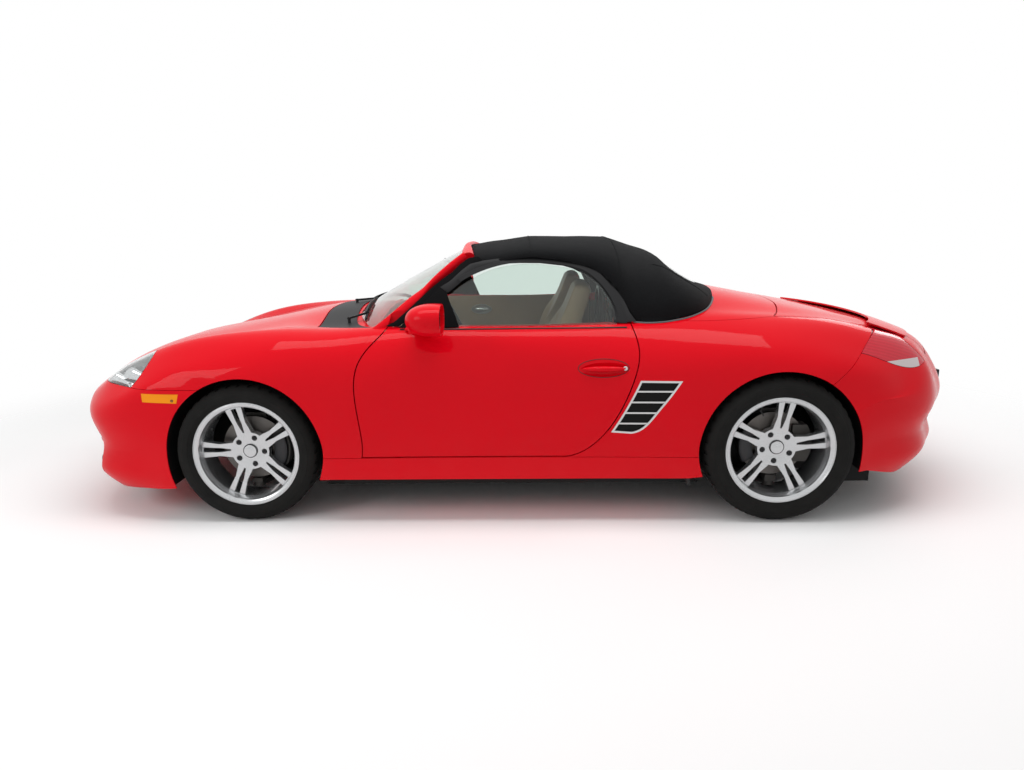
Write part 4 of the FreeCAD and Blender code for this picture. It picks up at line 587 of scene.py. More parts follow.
redPaint = makePaint()
shellLook = makeShellLook()
blackPlastic = makePlastic("grainedBlack", (0.010, 0.010, 0.011), Specular_IOR_Level=0.25)
satinBlack = makePlastic("satinBlack", (0.009, 0.009, 0.010), roughness=0.35, strength=0.1, Specular_IOR_Level=0.3)
rubberBlack = makePlastic("sealRubber", (0.010, 0.010, 0.010), roughness=0.7, scale=600.0)
tanPlastic = makePlastic("tanMoulding", (0.36, 0.25, 0.155), roughness=0.6)
tanLeather = makeLeather("tanLeather", (0.42, 0.29, 0.18))
darkLeather = makeLeather("darkLeather", (0.022, 0.021, 0.021))
blackTwill = makeCloth()
clearGlass = makeGlass("sideGlass", (0.80, 0.88, 0.84))
lampGlass = makeGlass("lampLens", (0.93, 0.95, 0.95))
wheelSilver = makeMetal("wheelSilver", (0.56, 0.57, 0.58), 0.26, metallic=0.85, Coat_Weight=0.6, Coat_Roughness=0.05)
brightMetal = makeMetal("brightMetal", (0.72, 0.72, 0.73), 0.12)
steel = makeMetal("dullSteel", (0.32, 0.30, 0.28), 0.42, strength=0.3)
castIron = makeMetal("castIron", (0.09, 0.085, 0.08), 0.65, scale=450.0, strength=0.6)
darkMetal = makeMetal("darkCasting", (0.05, 0.05, 0.052), 0.45, scale=350.0, strength=0.4)
engineAlloy = makeMetal("castAlloy", (0.42, 0.42, 0.43), 0.5, scale=300.0, strength=0.5)
amber = makePlastic(
    "amberLens", (0.96, 0.31, 0.003), roughness=0.3, strength=0.08,
    Coat_Weight=0.6, Coat_IOR=1.25, Specular_IOR_Level=0.1)
satinSilver = makeMetal("satinSilver", (0.62, 0.62, 0.62), 0.3)
mirrorFace = makeMetal("mirrorFace", (0.75, 0.77, 0.78), 0.03, strength=0.005)
blankPlate = makePlastic("blankPlate", (0.62, 0.62, 0.60), roughness=0.4, strength=0.05)
stripBlack = makePlastic("stripBlack", (0.012, 0.012, 0.013), roughness=0.55, strength=0.1, Specular_IOR_Level=0.25)
mattBlack = makePlastic("mattBlack", (0.004, 0.004, 0.0045), roughness=0.9, strength=0.1, Specular_IOR_Level=0.1)
beadGrey = makePlastic("beadGrey", (0.11, 0.11, 0.115), roughness=0.7, scale=500.0)
dialBlack = makePlastic("dialFace", (0.006, 0.006, 0.006), roughness=0.5, strength=0.05)
needleRed = makePlastic("needleRed", (0.55, 0.02, 0.008), roughness=0.5, strength=0.05)


tailLook = dict(
    dark=(0.40, 0.004, 0.014), bright=(0.66, 0.012, 0.035), ribs=55.0,
    pale=(0.56, 0.50, 0.50), paleZone=((1.605, -1.0, 0.655), (1.845, 1.0, 0.712)),
)


def makeTailLook():
    material, tree, shader = newMaterial(
        "redLens", Roughness=0.2, Coat_Weight=0.8, Coat_Roughness=0.02, Coat_IOR=1.25, Specular_IOR_Level=0.1)
    where = objectPlace(tree)
    ribs = add(tree, "TexWave", wave_type="BANDS", bands_direction="Z", Scale=tailLook["ribs"], Distortion=0.0)
    colour = blendColours(tree, ribs.outputs["Fac"], rgba(tailLook["dark"]), rgba(tailLook["bright"]))
    low, high = tailLook["paleZone"]
    pale = useGroup(tree, boxZone, Low=low, High=high)
    colour = blendColours(tree, pale.outputs["Mask"], colour, rgba(tailLook["pale"]))
    bump = add(tree, "Bump", Strength=0.2, Distance=0.001)
    wire(tree,
         (where, ribs.inputs["Vector"]),
         (colour, shader.inputs["Base Color"]),
         (ribs.outputs["Fac"], bump.inputs["Height"]),
         (bump.outputs[0], shader.inputs["Normal"]))
    return material


redLens = makeTailLook()
print("materials ready")

looks = {
    redPaint: ["front_bumper", "left_fender", "right_fender", "left_quarter", "right_quarter", "top_cover", "rear_bumper",
               "sill_covers", "front_lid", "rear_lid", "rear_spoiler", "left_door", "right_door", "left_handle",
               "right_handle", "left_mirror", "right_mirror"],
    shellLook: ["body_shell"],
    blackPlastic: ["cowl", "arch_liners", "front_grilles", "wipers"],
    satinBlack: ["top_rails", "roll_hoops"],
    satinSilver: ["side_intakes"],
    clearGlass: ["windshield", "left_door_glass", "right_door_glass", "rear_window"],
    lampGlass: ["headlamps", "running_lights"],
    brightMetal: ["lamp_bowls"],
    redLens: ["tail_lamps"],
    amber: ["side_markers"],
    tanPlastic: ["left_door_trim", "right_door_trim", "console", "dashboard"],
    darkLeather: ["steering_wheel"],
    castIron: ["rear_hubs", "suspension", "left_knuckle", "right_knuckle"],
    steel: ["exhaust"],
    engineAlloy: ["engine"],
}


def cover(name, material):
    nodes[name].data.materials.clear()
    nodes[name].data.materials.append(material)


for material, names in looks.items():
    for name in names:
        cover(name, material)
for end in wheels:
    discLook = makeDisc(end)
    for side in sides:
        cover(f"{end}_{side}_wheel", wheelSilver)
        cover(f"{end}_{side}_disc", discLook)
for node in nodes.values():
    makeActive(node)
    shadeSmooth(meshFit["cadAngle"])
print("finishes on the CAD nodes")


# wheels: tyres, bolts, caps, calipers

tyreShares = (  # share of the height, share of the width
    (0.0, 0.390), (0.055, 0.408), (0.10, 0.425), (0.118, 0.444), (0.135, 0.450), (0.26, 0.480), (0.30, 0.486),
    (0.315, 0.492), (0.45, 0.498), (0.58, 0.494), (0.595, 0.486), (0.66, 0.482), (0.75, 0.462), (0.82, 0.444),
    (0.90, 0.410), (0.945, 0.382), (0.975, 0.345), (0.990, 0.310),
)
treadShape = dict(
    beadInside=0.009, crownDrop=0.0004, shoulder=0.265, shoulderDrop=0.0012, steps=120,
    grooves=(0.075, 0.215), grooveHalf=0.018, grooveDepth=0.0065, grooveSlope=0.001,
    blockBand=(0.27, 0.40), blockReach=0.012, blockEvery=3,
    middleBand=0.05, middleReach=0.001, middleEvery=4, cutDepth=0.004, smoothAngle=30,
)


def makeTyre(name, end, sign):
    wheel, shape = wheels[end], treadShape
    width = wheel["width"]
    base = rimRadius - shape["beadInside"]
    height = wheel["radius"] - base
    top = wheel["radius"] - shape["crownDrop"]
    half = [(base + r * height, w * width) for r, w in tyreShares]
    half.append((top - shape["shoulderDrop"], shape["shoulder"] * width))
    for place in reversed(shape["grooves"]):
        outer, inner = (place + shape["grooveHalf"]) * width, (place - shape["grooveHalf"]) * width
        floor, slope = top - shape["grooveDepth"], shape["grooveSlope"]
        half += [(top, outer), (floor, outer - slope), (floor, inner + slope), (top, inner)]
    centre = (wheel["x"], sign * wheel["track"], wheel["radius"])
    section = half + [(r, -w) for r, w in reversed(half)] + half[:1]
    tyre = lathe(name, [(centre[0], centre[1] + w, centre[2] + r) for r, w in section], centre, steps=shape["steps"])

    def isCut(face):  # shallow cuts across the shoulders and the middle rib
        spot = face.center
        x, z = spot.x - centre[0], spot.z - centre[2]
        r, w = math.hypot(x, z), abs(spot.y - centre[1]) / width
        turn = int(round((math.atan2(z, x) / (2 * math.pi) + 0.5) * shape["steps"] - 0.5))
        low, high = shape["blockBand"]
        if r > top - shape["blockReach"] and low < w < high and turn % shape["blockEvery"] == 0:
            return True
        return r > top - shape["middleReach"] and w < shape["middleBand"] and turn % shape["middleEvery"] == 0

    pickFaces(tyre, isCut)
    bpy.ops.mesh.extrude_region_shrink_fatten(TRANSFORM_OT_shrink_fatten={"value": -shape["cutDepth"]})
    leaveEdit()
    shadeSmooth(shape["smoothAngle"])
    return tyre


wheelEdge = {"front": 0.8462, "rear": 0.8768}
spokePhase = {"front": 105.0, "rear": 82.0}
wheelFit = dict(
    bolts=5, boltCircle=0.065, boltRadius=0.0095, boltDepth=0.018, boltSunk=0.004, boltBevel=0.0012, boltTurn=36,
    socketInset=0.003, socketDepth=0.006, cap=0.0305, capStands=0.0022,
    # share of the radius, outward
    capSection=((1, -0.004), (1, 0.0), (0.93, 0.004), (0.84, 0.0036), (0.5, 0.006), (0.0, 0.0072)),
    # radius, outward
    seamSection=((0.0330, -0.001), (0.0326, 0.0012), (0.0306, 0.0012), (0.0302, -0.001), (0.0330, -0.001)),
    # radius, behind the edge
    rimFace=((0.2438, 0.0010), (0.2400, 0.0004), (0.2270, 0.0045), (0.2215, 0.0095), (0.2210, 0.0180), (0.2430, 0.0200),
             (0.2438, 0.0010)),
    valve=0.205, valveShare=0.39, valveReach=0.022, valveRadius=0.0035,
    # share of the reach inward, outward
    valvePath=((0.0, -0.012), (0.4, -0.004), (1.0, 0.006)),
)


def makeWheelFittings(end, side):
    wheel, sign = wheels[end], sides[side]
    body = f"{end}_{side}_wheel"
    centre = Vector((wheel["x"], sign * wheel["face"], wheel["radius"]))
    tyre = makeTyre(f"{end}_{side}_treadedTyre", end, sign)
    dress(tyre, tyreLooks[end], body)
    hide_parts(f"{end}_{side}_tyre")
    fit = wheelFit
    turn = math.radians(spokePhase[end] + fit["boltTurn"])
    bolts = []
    for i in range(fit["bolts"]):
        angle = turn + math.radians(360 / fit["bolts"] * i)
        reach = fit["boltCircle"]
        spot = centre + Vector((reach * math.cos(angle), -sign * fit["boltSunk"], reach * math.sin(angle)))
        bolt = drum("bolt", spot, fit["boltRadius"], fit["boltDepth"], vertices=12, bevel=fit["boltBevel"])
        pickFaces(bolt, lambda face: face.normal.y * sign > 0.95 and face.area > 0.0001)
        bpy.ops.mesh.inset(thickness=fit["socketInset"])
        pushOut((0, -sign * fit["socketDepth"], 0))
        leaveEdit()
        bolts.append(bolt)
    dress(joinAll(f"{end}_{side}_bolts", bolts), darkMetal, body)

    def turned(name, section, material, steps=48):  # radius and place along the axle, turned about it
        ring = lathe(f"{end}_{side}_{name}", [(centre.x, y, centre.z + r) for r, y in section], centre, steps=steps)
        dress(ring, material, body)

    turned("rimFace", [(r, sign * (wheelEdge[end] - back)) for r, back in fit["rimFace"]], wheelSilver, steps=120)
    y = centre.y + sign * fit["capStands"]
    turned("cap", [(fit["cap"] * share, y + sign * out) for share, out in fit["capSection"]], wheelSilver)
    turned("capSeam", [(r, y + sign * out) for r, out in fit["seamSection"]], darkMetal)
    outward = Vector((math.cos(turn), 0, math.sin(turn)))
    along = Vector((0, sign, 0))
    stem = Vector((wheel["x"], 0, wheel["radius"])) + outward * fit["valve"]
    stem += along * (wheel["track"] + wheel["width"] * fit["valveShare"])
    path = [stem - outward * fit["valveReach"] * share + along * out for share, out in fit["valvePath"]]
    dress(tube(f"{end}_{side}_valve", path, fit["valveRadius"]), rubberBlack, body)


caliperShape = dict(
    behindDisc=0.012, start={"front": -30, "rear": 150}, sweep=60, steps=10, bevel=0.0025,
    # radius, along the axle
    section=((0.104, 0.016), (0.104, 0.027), (0.146, 0.031), (0.163, 0.024), (0.166, 0.0), (0.163, -0.026),
             (0.146, -0.036), (0.104, -0.034), (0.104, -0.016), (0.1535, -0.016), (0.1535, 0.016), (0.104, 0.016)),
)


def makeCaliper(end, side):
    wheel, sign, shape = wheels[end], sides[side], caliperShape
    body = {"front": side + "_knuckle", "rear": "chassis"}[end]
    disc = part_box(f"{end}_{side}_disc")
    middle = max(abs(disc[0][1]), abs(disc[1][1])) - shape["behindDisc"]
    start = math.radians(shape["start"][end])
    axle = Vector((wheel["x"], 0, wheel["radius"]))
    ahead, up = math.cos(start), math.sin(start)
    ring = [(axle.x + r * ahead, sign * (middle + w), axle.z + r * up) for r, w in shape["section"]]
    caliper = profile(f"{end}_{side}_caliper", ring)
    editMesh(caliper, "VERT")
    weld(meshFit["outlineWeld"])
    fillFace()
    selectAll()
    bpy.ops.mesh.spin(steps=shape["steps"], angle=math.radians(shape["sweep"]), center=axle, axis=(0, 1, 0))
    faceOutward()
    leaveEdit()
    finishMesh(caliper, bevel=shape["bevel"])
    dress(caliper, darkMetal, body)


tyreLooks = {end: makeTyreLook(end) for end in wheels}
for end in wheels:
    for side in sides:
        makeWheelFittings(end, side)
        makeCaliper(end, side)
print("wheels dressed")


# fabric top

topShape = dict(
    # bows: place along the car, height, width
    bows=((-0.20, -0.002, 0.05), (-0.08, -0.004, 0.06), (0.06, 0.003, 0.05), (0.26, -0.005, 0.09), (0.46, 0.006, 0.045),
          (0.575, -0.003, 0.05), (0.695, 0.012, 0.050)),
    flankFoot=0.98, flankRise=0.16, flankShare=0.35, flankHalf=0.6,
    crease=0.0025, creaseRate=46, creaseBend=0.35, creaseFoot=0.93, creaseRise=0.05,
    flatWidth=1.45, flatLength=1.90, flatArea=1.58,
)
seamShape = dict(
    radius=0.0022, lift=0.0004, foot=1.02,
    places=(0.05, 0.455), drift=0.02, steps=24, step=3.1, centre=0.75, reach=1.4,
    points=12, window=(0.62, 0.475, 1.6), windowStep=(0.028, 0.0035), windowAim=(0.05, 0, -1),
)
beadShape = dict(
    radius=0.0045, steps=60, ends=(-96, 96), centre=0.56, height=2.0,
    near=0.10, far=1.0, halvings=22, out=0.004, lift=0.001,
)


def bowLift(x, y, z):  # cloth stands over each bow and sags between them, less so down the sides
    shape = topShape
    high = clamped((z - shape["flankFoot"]) / shape["flankRise"])
    lift = sum(height * math.exp(-((x - place) / width) ** 2) for place, height, width in shape["bows"])
    crease = shape["crease"] * math.sin((x + shape["creaseBend"] * y * y) * shape["creaseRate"])
    crease *= (1 - high) * clamped((z - shape["creaseFoot"]) / shape["creaseRise"])
    return lift * high * (1 - shape["flankShare"] * min(abs(y) / shape["flankHalf"], 1)), crease


def makeTop():
    top = copyOf(nodes["soft_top"], "topFabric")
    editMesh(top, "VERT")
    weld(meshFit["weld"])
    bpy.ops.mesh.normals_make_consistent(inside=False)
    leaveEdit()
    for vertex in top.data.vertices:
        up, out = bowLift(*vertex.co)
        vertex.co.z += up
        vertex.co.y += math.copysign(out, vertex.co.y)
    top.data.update()
    shadeSmooth(meshFit["smoothAngle"])
    dress(top, blackTwill, "chassis")
    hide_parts("soft_top")
    bpy.context.view_layer.update()
    return top


def onTop(start, toward):  # the place just over the cloth that a ray meets
    met, place, normal = topFabric.ray_cast(start, Vector(toward).normalized())[:3]
    return place + normal * seamShape["lift"] if met else None


def makeTopSeams():
    shape, lines = seamShape, []
    steps, reach = shape["steps"], shape["reach"]
    for x in shape["places"]:
        line = []
        for k in range(-steps, steps + 1):
            turn = math.radians(k * shape["step"])
            aside, up = math.sin(turn), math.cos(turn)
            start = (x + shape["drift"] * abs(k) / steps, reach * aside, shape["centre"] + reach * up)
            spot = onTop(start, (0, -aside, -up))
            if spot and spot.z > shape["foot"]:
                line.append(spot)
        lines.append(line)
    x, y, z = shape["window"]
    back, aside = shape["windowStep"]
    for sign in (-1, 1):  # beside the rear window
        line = [onTop((x + back * k, sign * (y + aside * k), z), shape["windowAim"]) for k in range(shape["points"])]
        lines.append([spot for spot in line if spot])
    group = joinAll("topSeams", [tube("topSeam", line, shape["radius"]) for line in lines])
    return dress(group, blackTwill, "chassis")


def makeTopBead():  # the light bead along the foot of the cloth, where it meets the painted cover
    shape, line = beadShape, []
    middle = Vector((shape["centre"], 0, shape["height"]))
    low, high = shape["ends"]
    for step in range(shape["steps"] + 1):
        turn = math.radians(low + (high - low) * step / shape["steps"])
        away = Vector((math.cos(turn), math.sin(turn), 0))
        near, far = shape["near"], shape["far"]
        for _ in range(shape["halvings"]):
            between = (near + far) / 2
            if topFabric.ray_cast(middle + away * between, (0, 0, -1))[0]:
                near = between
            else:
                far = between
        spot = middle + away * (near + shape["out"])
        hits = [nodes[name].ray_cast(spot, (0, 0, -1)) for name in ("top_cover", "left_quarter", "right_quarter")]
        heights = [hit[1].z for hit in hits if hit[0]]
        if heights:
            line.append((spot.x, spot.y, max(heights) + shape["lift"]))
    return dress(tube("topBead", line, shape["radius"]), beadGrey, "chassis")


topFabric = makeTop()
seamPieces = [makeTopSeams(), makeTopBead()]
print("top ready")


# seats

seatShape = dict(y=0.3602, half=0.232, cuts=15, fill=0.8, frameAside=0.36, swell=1.12, smoothAngle=80)
cushionShape = dict(
    round=0.28, x=-0.128, half=0.243, pivot=-0.123, tilt=0.087, middle=0.368, rise=0.060, crown=0.010,
    bolsterFrom=0.55, bolsterOver=0.45, bolster=0.020, curve=1.3, seamDepth=0.007,
    seamAt=0.56, seamWidth=0.06, channels=(-0.35, 0.05, 0.45), channelWidth=0.05, channelShare=0.6,
)
backShape = dict(
    round=0.24, hip=(0.205, 0, 0.728), lean=20.0, half=0.345, depth=0.058, taper=0.012,
    neck=0.095, neckFrom=0.66, neckOver=0.16,
    bolsterFrom=0.50, bolsterOver=0.5, bolster=0.030, curve=1.2, bolsterTo=0.60, bolsterFade=0.2, seamDepth=0.006,
    seamAt=0.55, seamWidth=0.06, seamTo=0.70, endShare=0.8, endWidth=0.02,
    channels=(0.22, 0.38, 0.54), channelWidth=0.016, channelShare=0.6, channelHalf=0.5,
)
seatBase = dict(low=(-0.33, -0.17, 0.172), high=(0.06, 0.17, 0.33), bevel=0.012)
seatHinge = dict(low=(0.02, -0.245, 0.30), high=(0.13, -0.228, 0.42), bevel=0.006)


def softBlock(name, cuts, shape):
    clearSelection()
    bpy.ops.mesh.primitive_cube_add(size=2, location=(0, 0, 0))
    obj = named(name)
    editMesh(obj)
    selectAll()
    bpy.ops.mesh.subdivide(number_cuts=cuts)
    leaveEdit()
    for vertex in obj.data.vertices:
        vertex.co = shape(vertex.co.copy())
    obj.data.update()
    return finishMesh(obj, subsurf=1, angle=seatShape["smoothAngle"])


def roundedCube(p, amount):
    x, y, z = p
    ball = Vector((x * math.sqrt(max(1 - y * y / 2 - z * z / 2 + y * y * z * z / 3, 0)),
                   y * math.sqrt(max(1 - z * z / 2 - x * x / 2 + z * z * x * x / 3, 0)),
                   z * math.sqrt(max(1 - x * x / 2 - y * y / 2 + x * x * y * y / 3, 0))))
    return p.lerp(ball * seatShape["swell"], amount)


def groove(value, place, width):
    return math.exp(-((value - place) / width) ** 2)


def channels(value, shape):
    return shape["channelShare"] * sum(groove(value, place, shape["channelWidth"]) for place in shape["channels"])


def cushionForm(p):
    shape = cushionShape
    q = roundedCube(p, shape["round"])
    bolster = (max(abs(p.y) - shape["bolsterFrom"], 0) / shape["bolsterOver"]) ** shape["curve"]
    seam = groove(abs(p.y), shape["seamAt"], shape["seamWidth"])
    if abs(p.y) < shape["seamAt"]:
        seam += channels(p.x, shape)
    x = shape["x"] + q.x * shape["half"]
    z = shape["middle"] + q.z * shape["rise"] - shape["tilt"] * (x - shape["pivot"])
    z += max(p.z, 0) * (shape["bolster"] * bolster - shape["seamDepth"] * seam - shape["crown"])
    return Vector((x, q.y * seatShape["half"], z))


def backForm(p):
    shape = backShape
    q = roundedCube(p, shape["round"])
    share = (p.z + 1) / 2
    narrowing = clamped((share - shape["neckFrom"]) / shape["neckOver"])
    width = seatShape["half"] - shape["neck"] * narrowing ** 2 * (3 - 2 * narrowing)
    bolster = (max(abs(p.y) - shape["bolsterFrom"], 0) / shape["bolsterOver"]) ** shape["curve"]
    bolster *= 1 - clamped((share - shape["bolsterTo"]) / shape["bolsterFade"])
    seam = shape["endShare"] * groove(share, shape["seamTo"], shape["endWidth"])
    if share < shape["seamTo"]:
        seam += groove(abs(p.y), shape["seamAt"], shape["seamWidth"])
    if abs(p.y) < shape["channelHalf"]:
        seam += channels(share, shape)
    a = q.x * (shape["depth"] - shape["taper"] * share)
    a -= max(-p.x, 0) * (shape["bolster"] * bolster - shape["seamDepth"] * seam)
    h = q.z * shape["half"]
    lean = math.radians(shape["lean"])
    along, up = a * math.cos(lean) + h * math.sin(lean), h * math.cos(lean) - a * math.sin(lean)
    return Vector(shape["hip"]) + Vector((along, q.y * width, up))


def seatBlock(name, shape, sign):
    aside = Vector((0, sign * seatShape["frameAside"], 0))
    piece = block(name, Vector(shape["low"]) + aside, Vector(shape["high"]) + aside, bevel=shape["bevel"])
    return dress(piece, satinBlack, "chassis")


def makeSeats():
    for side, sign in sides.items():
        for part, form in (("cushion", cushionForm), ("back", backForm)):
            pad = softBlock(f"{side}_seat_{part}", seatShape["cuts"], form)
            pad.data.transform(Matrix.Translation((0, sign * seatShape["y"], 0)))
            dress(pad, tanLeather, "chassis")
            if (side, part) == ("left", "cushion"):
                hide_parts("seats")
        seatBlock(side + "_seat_base", seatBase, sign)
        seatBlock(side + "_seat_hinge", seatHinge, sign)


makeSeats()
print("seats ready")


# window frame, seals and mirrors

frameOuter = (
    (-0.352, 1.058), (-0.306, 1.085), (-0.252, 1.133), (-0.215, 1.159), (-0.160, 1.172), (-0.078, 1.182),
    (0.014, 1.187), (0.105, 1.186), (0.210, 1.183), (0.268, 1.172), (0.338, 1.146), (0.398, 1.106),
    (0.446, 1.052), (0.482, 0.994), (0.508, 0.938), (0.536, 0.900),
)
frameInner = (
    (-0.316, 1.032), (-0.264, 1.073), (-0.219, 1.114), (-0.185, 1.135), (-0.140, 1.148), (-0.078, 1.157),
    (0.014, 1.160), (0.105, 1.158), (0.210, 1.146), (0.253, 1.133), (0.304, 1.106), (0.352, 1.072),
    (0.391, 1.026), (0.417, 0.971), (0.430, 0.926), (0.434, 0.896),
)
sailOutline = (
    (-0.535, 0.884), (-0.485, 0.932), (-0.440, 0.976), (-0.400, 1.013), (-0.352, 1.057), (-0.322, 1.040),
    (-0.311, 1.009), (-0.282, 0.937), (-0.262, 0.884),
)
pillarSealOutline = (
    (-0.600, 0.890), (-0.560, 0.908), (-0.500, 0.958), (-0.450, 1.003), (-0.400, 1.048), (-0.350, 1.088),
    (-0.300, 1.122), (-0.262, 1.158), (-0.225, 1.184), (-0.180, 1.192), (-0.150, 1.172), (-0.205, 1.142),
    (-0.252, 1.118), (-0.300, 1.082), (-0.352, 1.040), (-0.400, 0.996), (-0.450, 0.955), (-0.500, 0.915),
    (-0.540, 0.886),
)
windowPlane = dict(y=0.685, z=1.02, slope=0.42, thickness=0.005, frame=-0.009, seal=-0.015, sail=0.008)
beltSeal = dict(xs=[x / 100 for x in range(-53, 52, 6)], metAt=0.876, z=0.877, sunk=0.001, radius=0.0042)


def besideGlass(name, outline, sign, out):  # a thin plate in the slope of the window, its outer face at this distance
    plane = windowPlane
    start = out - plane["thickness"] if sign > 0 else out

    def depthAt(z):
        return sign * (plane["y"] - (z - plane["z"]) * plane["slope"] + start)

    return panel(name, outline, depthAt, plane["thickness"])


def makeWindowFrames():
    for side, sign in sides.items():
        door = side + "_door"
        strip = besideGlass(f"{side}_windowFrame", frameOuter + frameInner[::-1], sign, windowPlane["frame"])
        dress(strip, stripBlack, "chassis")
        seal = besideGlass(f"{side}_pillarSeal", pillarSealOutline, sign, windowPlane["seal"])
        dress(seal, mattBlack, "chassis")
        sail = besideGlass(f"{side}_mirrorSail", sailOutline, sign, windowPlane["sail"])
        dress(sail, mattBlack, door)
        line = []
        for x in beltSeal["xs"]:
            line.append((x, surfaceY(door, x, beltSeal["metAt"], sign) - sign * beltSeal["sunk"], beltSeal["z"]))
        dress(tube(f"{side}_beltSeal", line, beltSeal["radius"]), rubberBlack, door)


mirrorFit = dict(x=-0.3295, y=0.908, z=0.940, size=(0.056, 0.076, 0.004), bevel=0.0012)


def makeMirrorGlass():
    for side, sign in sides.items():
        clearSelection()
        place = (mirrorFit["x"], sign * mirrorFit["y"], mirrorFit["z"])
        turn = (0, math.pi / 2, 0)
        bpy.ops.mesh.primitive_cylinder_add(radius=1, depth=1, vertices=48, location=place, rotation=turn)
        glass = named(side + "_mirrorGlass")
        glass.scale = mirrorFit["size"]
        settle(glass)
        finishMesh(glass, bevel=mirrorFit["bevel"])
        dress(glass, mirrorFace, side + "_door")


def button(name, node, place, section, sign, steps):  # turned about a line across the car; section out and up
    x, z = place
    y = surfaceY(node, x, z, sign)
    return lathe(name, [(x, y + sign * out, z + up) for out, up in section], (x, y, z), steps=steps)


doorFit = dict(
    handle=(0.378, 0.7125), handleHalf=(0.112, 0.040), rimPoints=28, rimRadius=0.0014, lock=(0.474, 0.7105),
    lockSection=((-0.002, 0.010), (0.004, 0.010), (0.0052, 0.0085), (0.0044, 0.007), (0.0044, 0.0022), (0.002, 0.0018),
                 (0.002, 0)),
)


def makeDoorDetails():
    for side, sign in sides.items():
        door = side + "_door"
        spots = []
        for i in range(doorFit["rimPoints"]):
            turn = 2 * math.pi * i / doorFit["rimPoints"]
            x = doorFit["handle"][0] + doorFit["handleHalf"][0] * math.cos(turn)
            z = doorFit["handle"][1] + doorFit["handleHalf"][1] * math.sin(turn)
            spots.append((x, surfaceY(door, x, z, sign), z))
        rim = tube(side + "_handleRim", spots, doorFit["rimRadius"], cyclic=True)
        dress(rim, rubberBlack, door)
        lock = button(side + "_doorLock", door, doorFit["lock"], doorFit["lockSection"], sign, steps=32)
        dress(lock, satinSilver, door)


flaps = (  # name, outline in x and z, middle and half width across the car
    ("rearFlap", ((0.752, 0.300), (0.762, 0.302), (0.777, 0.175), (0.765, 0.168), (0.757, 0.205)), 0.79, 0.07),
    ("frontFlap", ((-1.646, 0.260), (-1.634, 0.260), (-1.618, 0.165), (-1.632, 0.160)), 0.70, 0.10),
)
markerScrew = dict(
    place=(-1.549, 0.582),
    section=((-0.002, 0.006), (0.0012, 0.006), (0.0012, 0.0028), (-0.0005, 0.0022), (-0.0005, 0)),
)


def makeFlaps():
    for side, sign in sides.items():
        for name, outline, middle, half in flaps:
            flap = panel(f"{side}_{name}", outline, lambda z: sign * middle - half, 2 * half)
            dress(flap, rubberBlack)
        place, section = markerScrew["place"], markerScrew["section"]
        screw = button(side + "_markerScrew", "side_markers", place, section, sign, steps=24)
        dress(screw, darkMetal, "chassis")


patchFit = dict(across=14, along=4, start=3.0, bevel=0.0008)


def patchOn(name, node, low, high, toward, lift, thickness):  # a thin plate laid on a CAD surface, met along x
    clearSelection()
    bpy.ops.mesh.primitive_grid_add(
        x_subdivisions=patchFit["across"], y_subdivisions=patchFit["along"], size=2, location=(0, 0, 0))
    plate = named(name)
    last = 0.0
    for vertex in plate.data.vertices:
        y = low[0] + (high[0] - low[0]) * (vertex.co.x + 1) / 2
        z = low[1] + (high[1] - low[1]) * (vertex.co.y + 1) / 2
        met, place = nodes[node].ray_cast((-patchFit["start"] * toward, y, z), (toward, 0, 0))[:2]
        last = place.x if met else last
        vertex.co = (last - lift * toward, y, z)
    editMesh(plate)
    selectAll()
    pushOut((thickness * toward, 0, 0))
    faceOutward()
    leaveEdit()
    return finishMesh(plate, bevel=patchFit["bevel"])


tailDetails = dict(
    reflector=(0.47, 0.63), reflectorHeight=(0.395, 0.418), reflectorLift=0.0025, reflectorDepth=0.006,
    plateHalf=0.262, plateHeight=(0.455, 0.568), plateFaces=(2.1785, 2.1815),
    bracketFaces=(2.140, 2.1795), bracketEdge=(0.006, 0.004),
)


def makeTailDetails():
    shape = tailDetails
    for side, sign in sides.items():
        ends = sorted(sign * y for y in shape["reflector"])
        low, high = zip(ends, shape["reflectorHeight"])
        reflector = patchOn(
            side + "_reflector", "rear_bumper", low, high, -1, shape["reflectorLift"], shape["reflectorDepth"])
        dress(reflector, redLens, "chassis")
    (low, high), half = shape["plateHeight"], shape["plateHalf"]
    (near, far), (aside, beyond) = shape["bracketFaces"], shape["bracketEdge"]
    wide = half + aside
    bracket = block("plateBracket", (near, -wide, low - beyond), (far, wide, high + beyond), bevel=0.004)
    dress(bracket, blackPlastic)
    near, far = shape["plateFaces"]
    plate = block("blankPlate", (near, -half, low), (far, half, high), bevel=0.0012)
    dress(plate, blankPlate)


dialShape = dict(
    places=((-0.448, 0.034), (-0.360, 0.043), (-0.272, 0.034)), x=-0.4025, z=0.842,
    stands=0.001, depth=0.004, bevel=0.0008,
    # along the car, beyond the edge
    rim=((-0.001, 0.003), (0.006, 0.002), (0.006, -0.001), (-0.001, -0.002), (-0.001, 0.003)),
    # along the car, share of the radius
    needle=((0.0045, 0.0), (0.005, 0.35), (0.0045, 0.62)), needleRadius=0.0011,
)
ventShape = dict(
    places=(-0.575, -0.075, 0.075, 0.575), x=-0.443, z=0.792, half=0.052, tall=0.026,
    back=0.004, front=0.006, bevel=0.0015, inset=0.005, depth=0.006,
    slats=4, slatFrom=0.001, slatTo=0.004, slatShort=0.006, slatHalf=0.0015, slatBevel=0.0006,
)
centreShape = dict(
    radioHalf=0.092, radioHeight=(0.655, 0.752), radioBevel=0.004,
    knobs=(-0.062, 0.0, 0.062), knobOut=0.010, knobHeight=0.682, knobRadius=0.013, knobDepth=0.016, knobBevel=0.002,
    keys=6, keyFrom=-0.078, keyStep=0.0272, keyWidth=0.022,
    keyOut=(0.004, 0.009), keyHeight=(0.712, 0.726), keyBevel=0.0012,
)
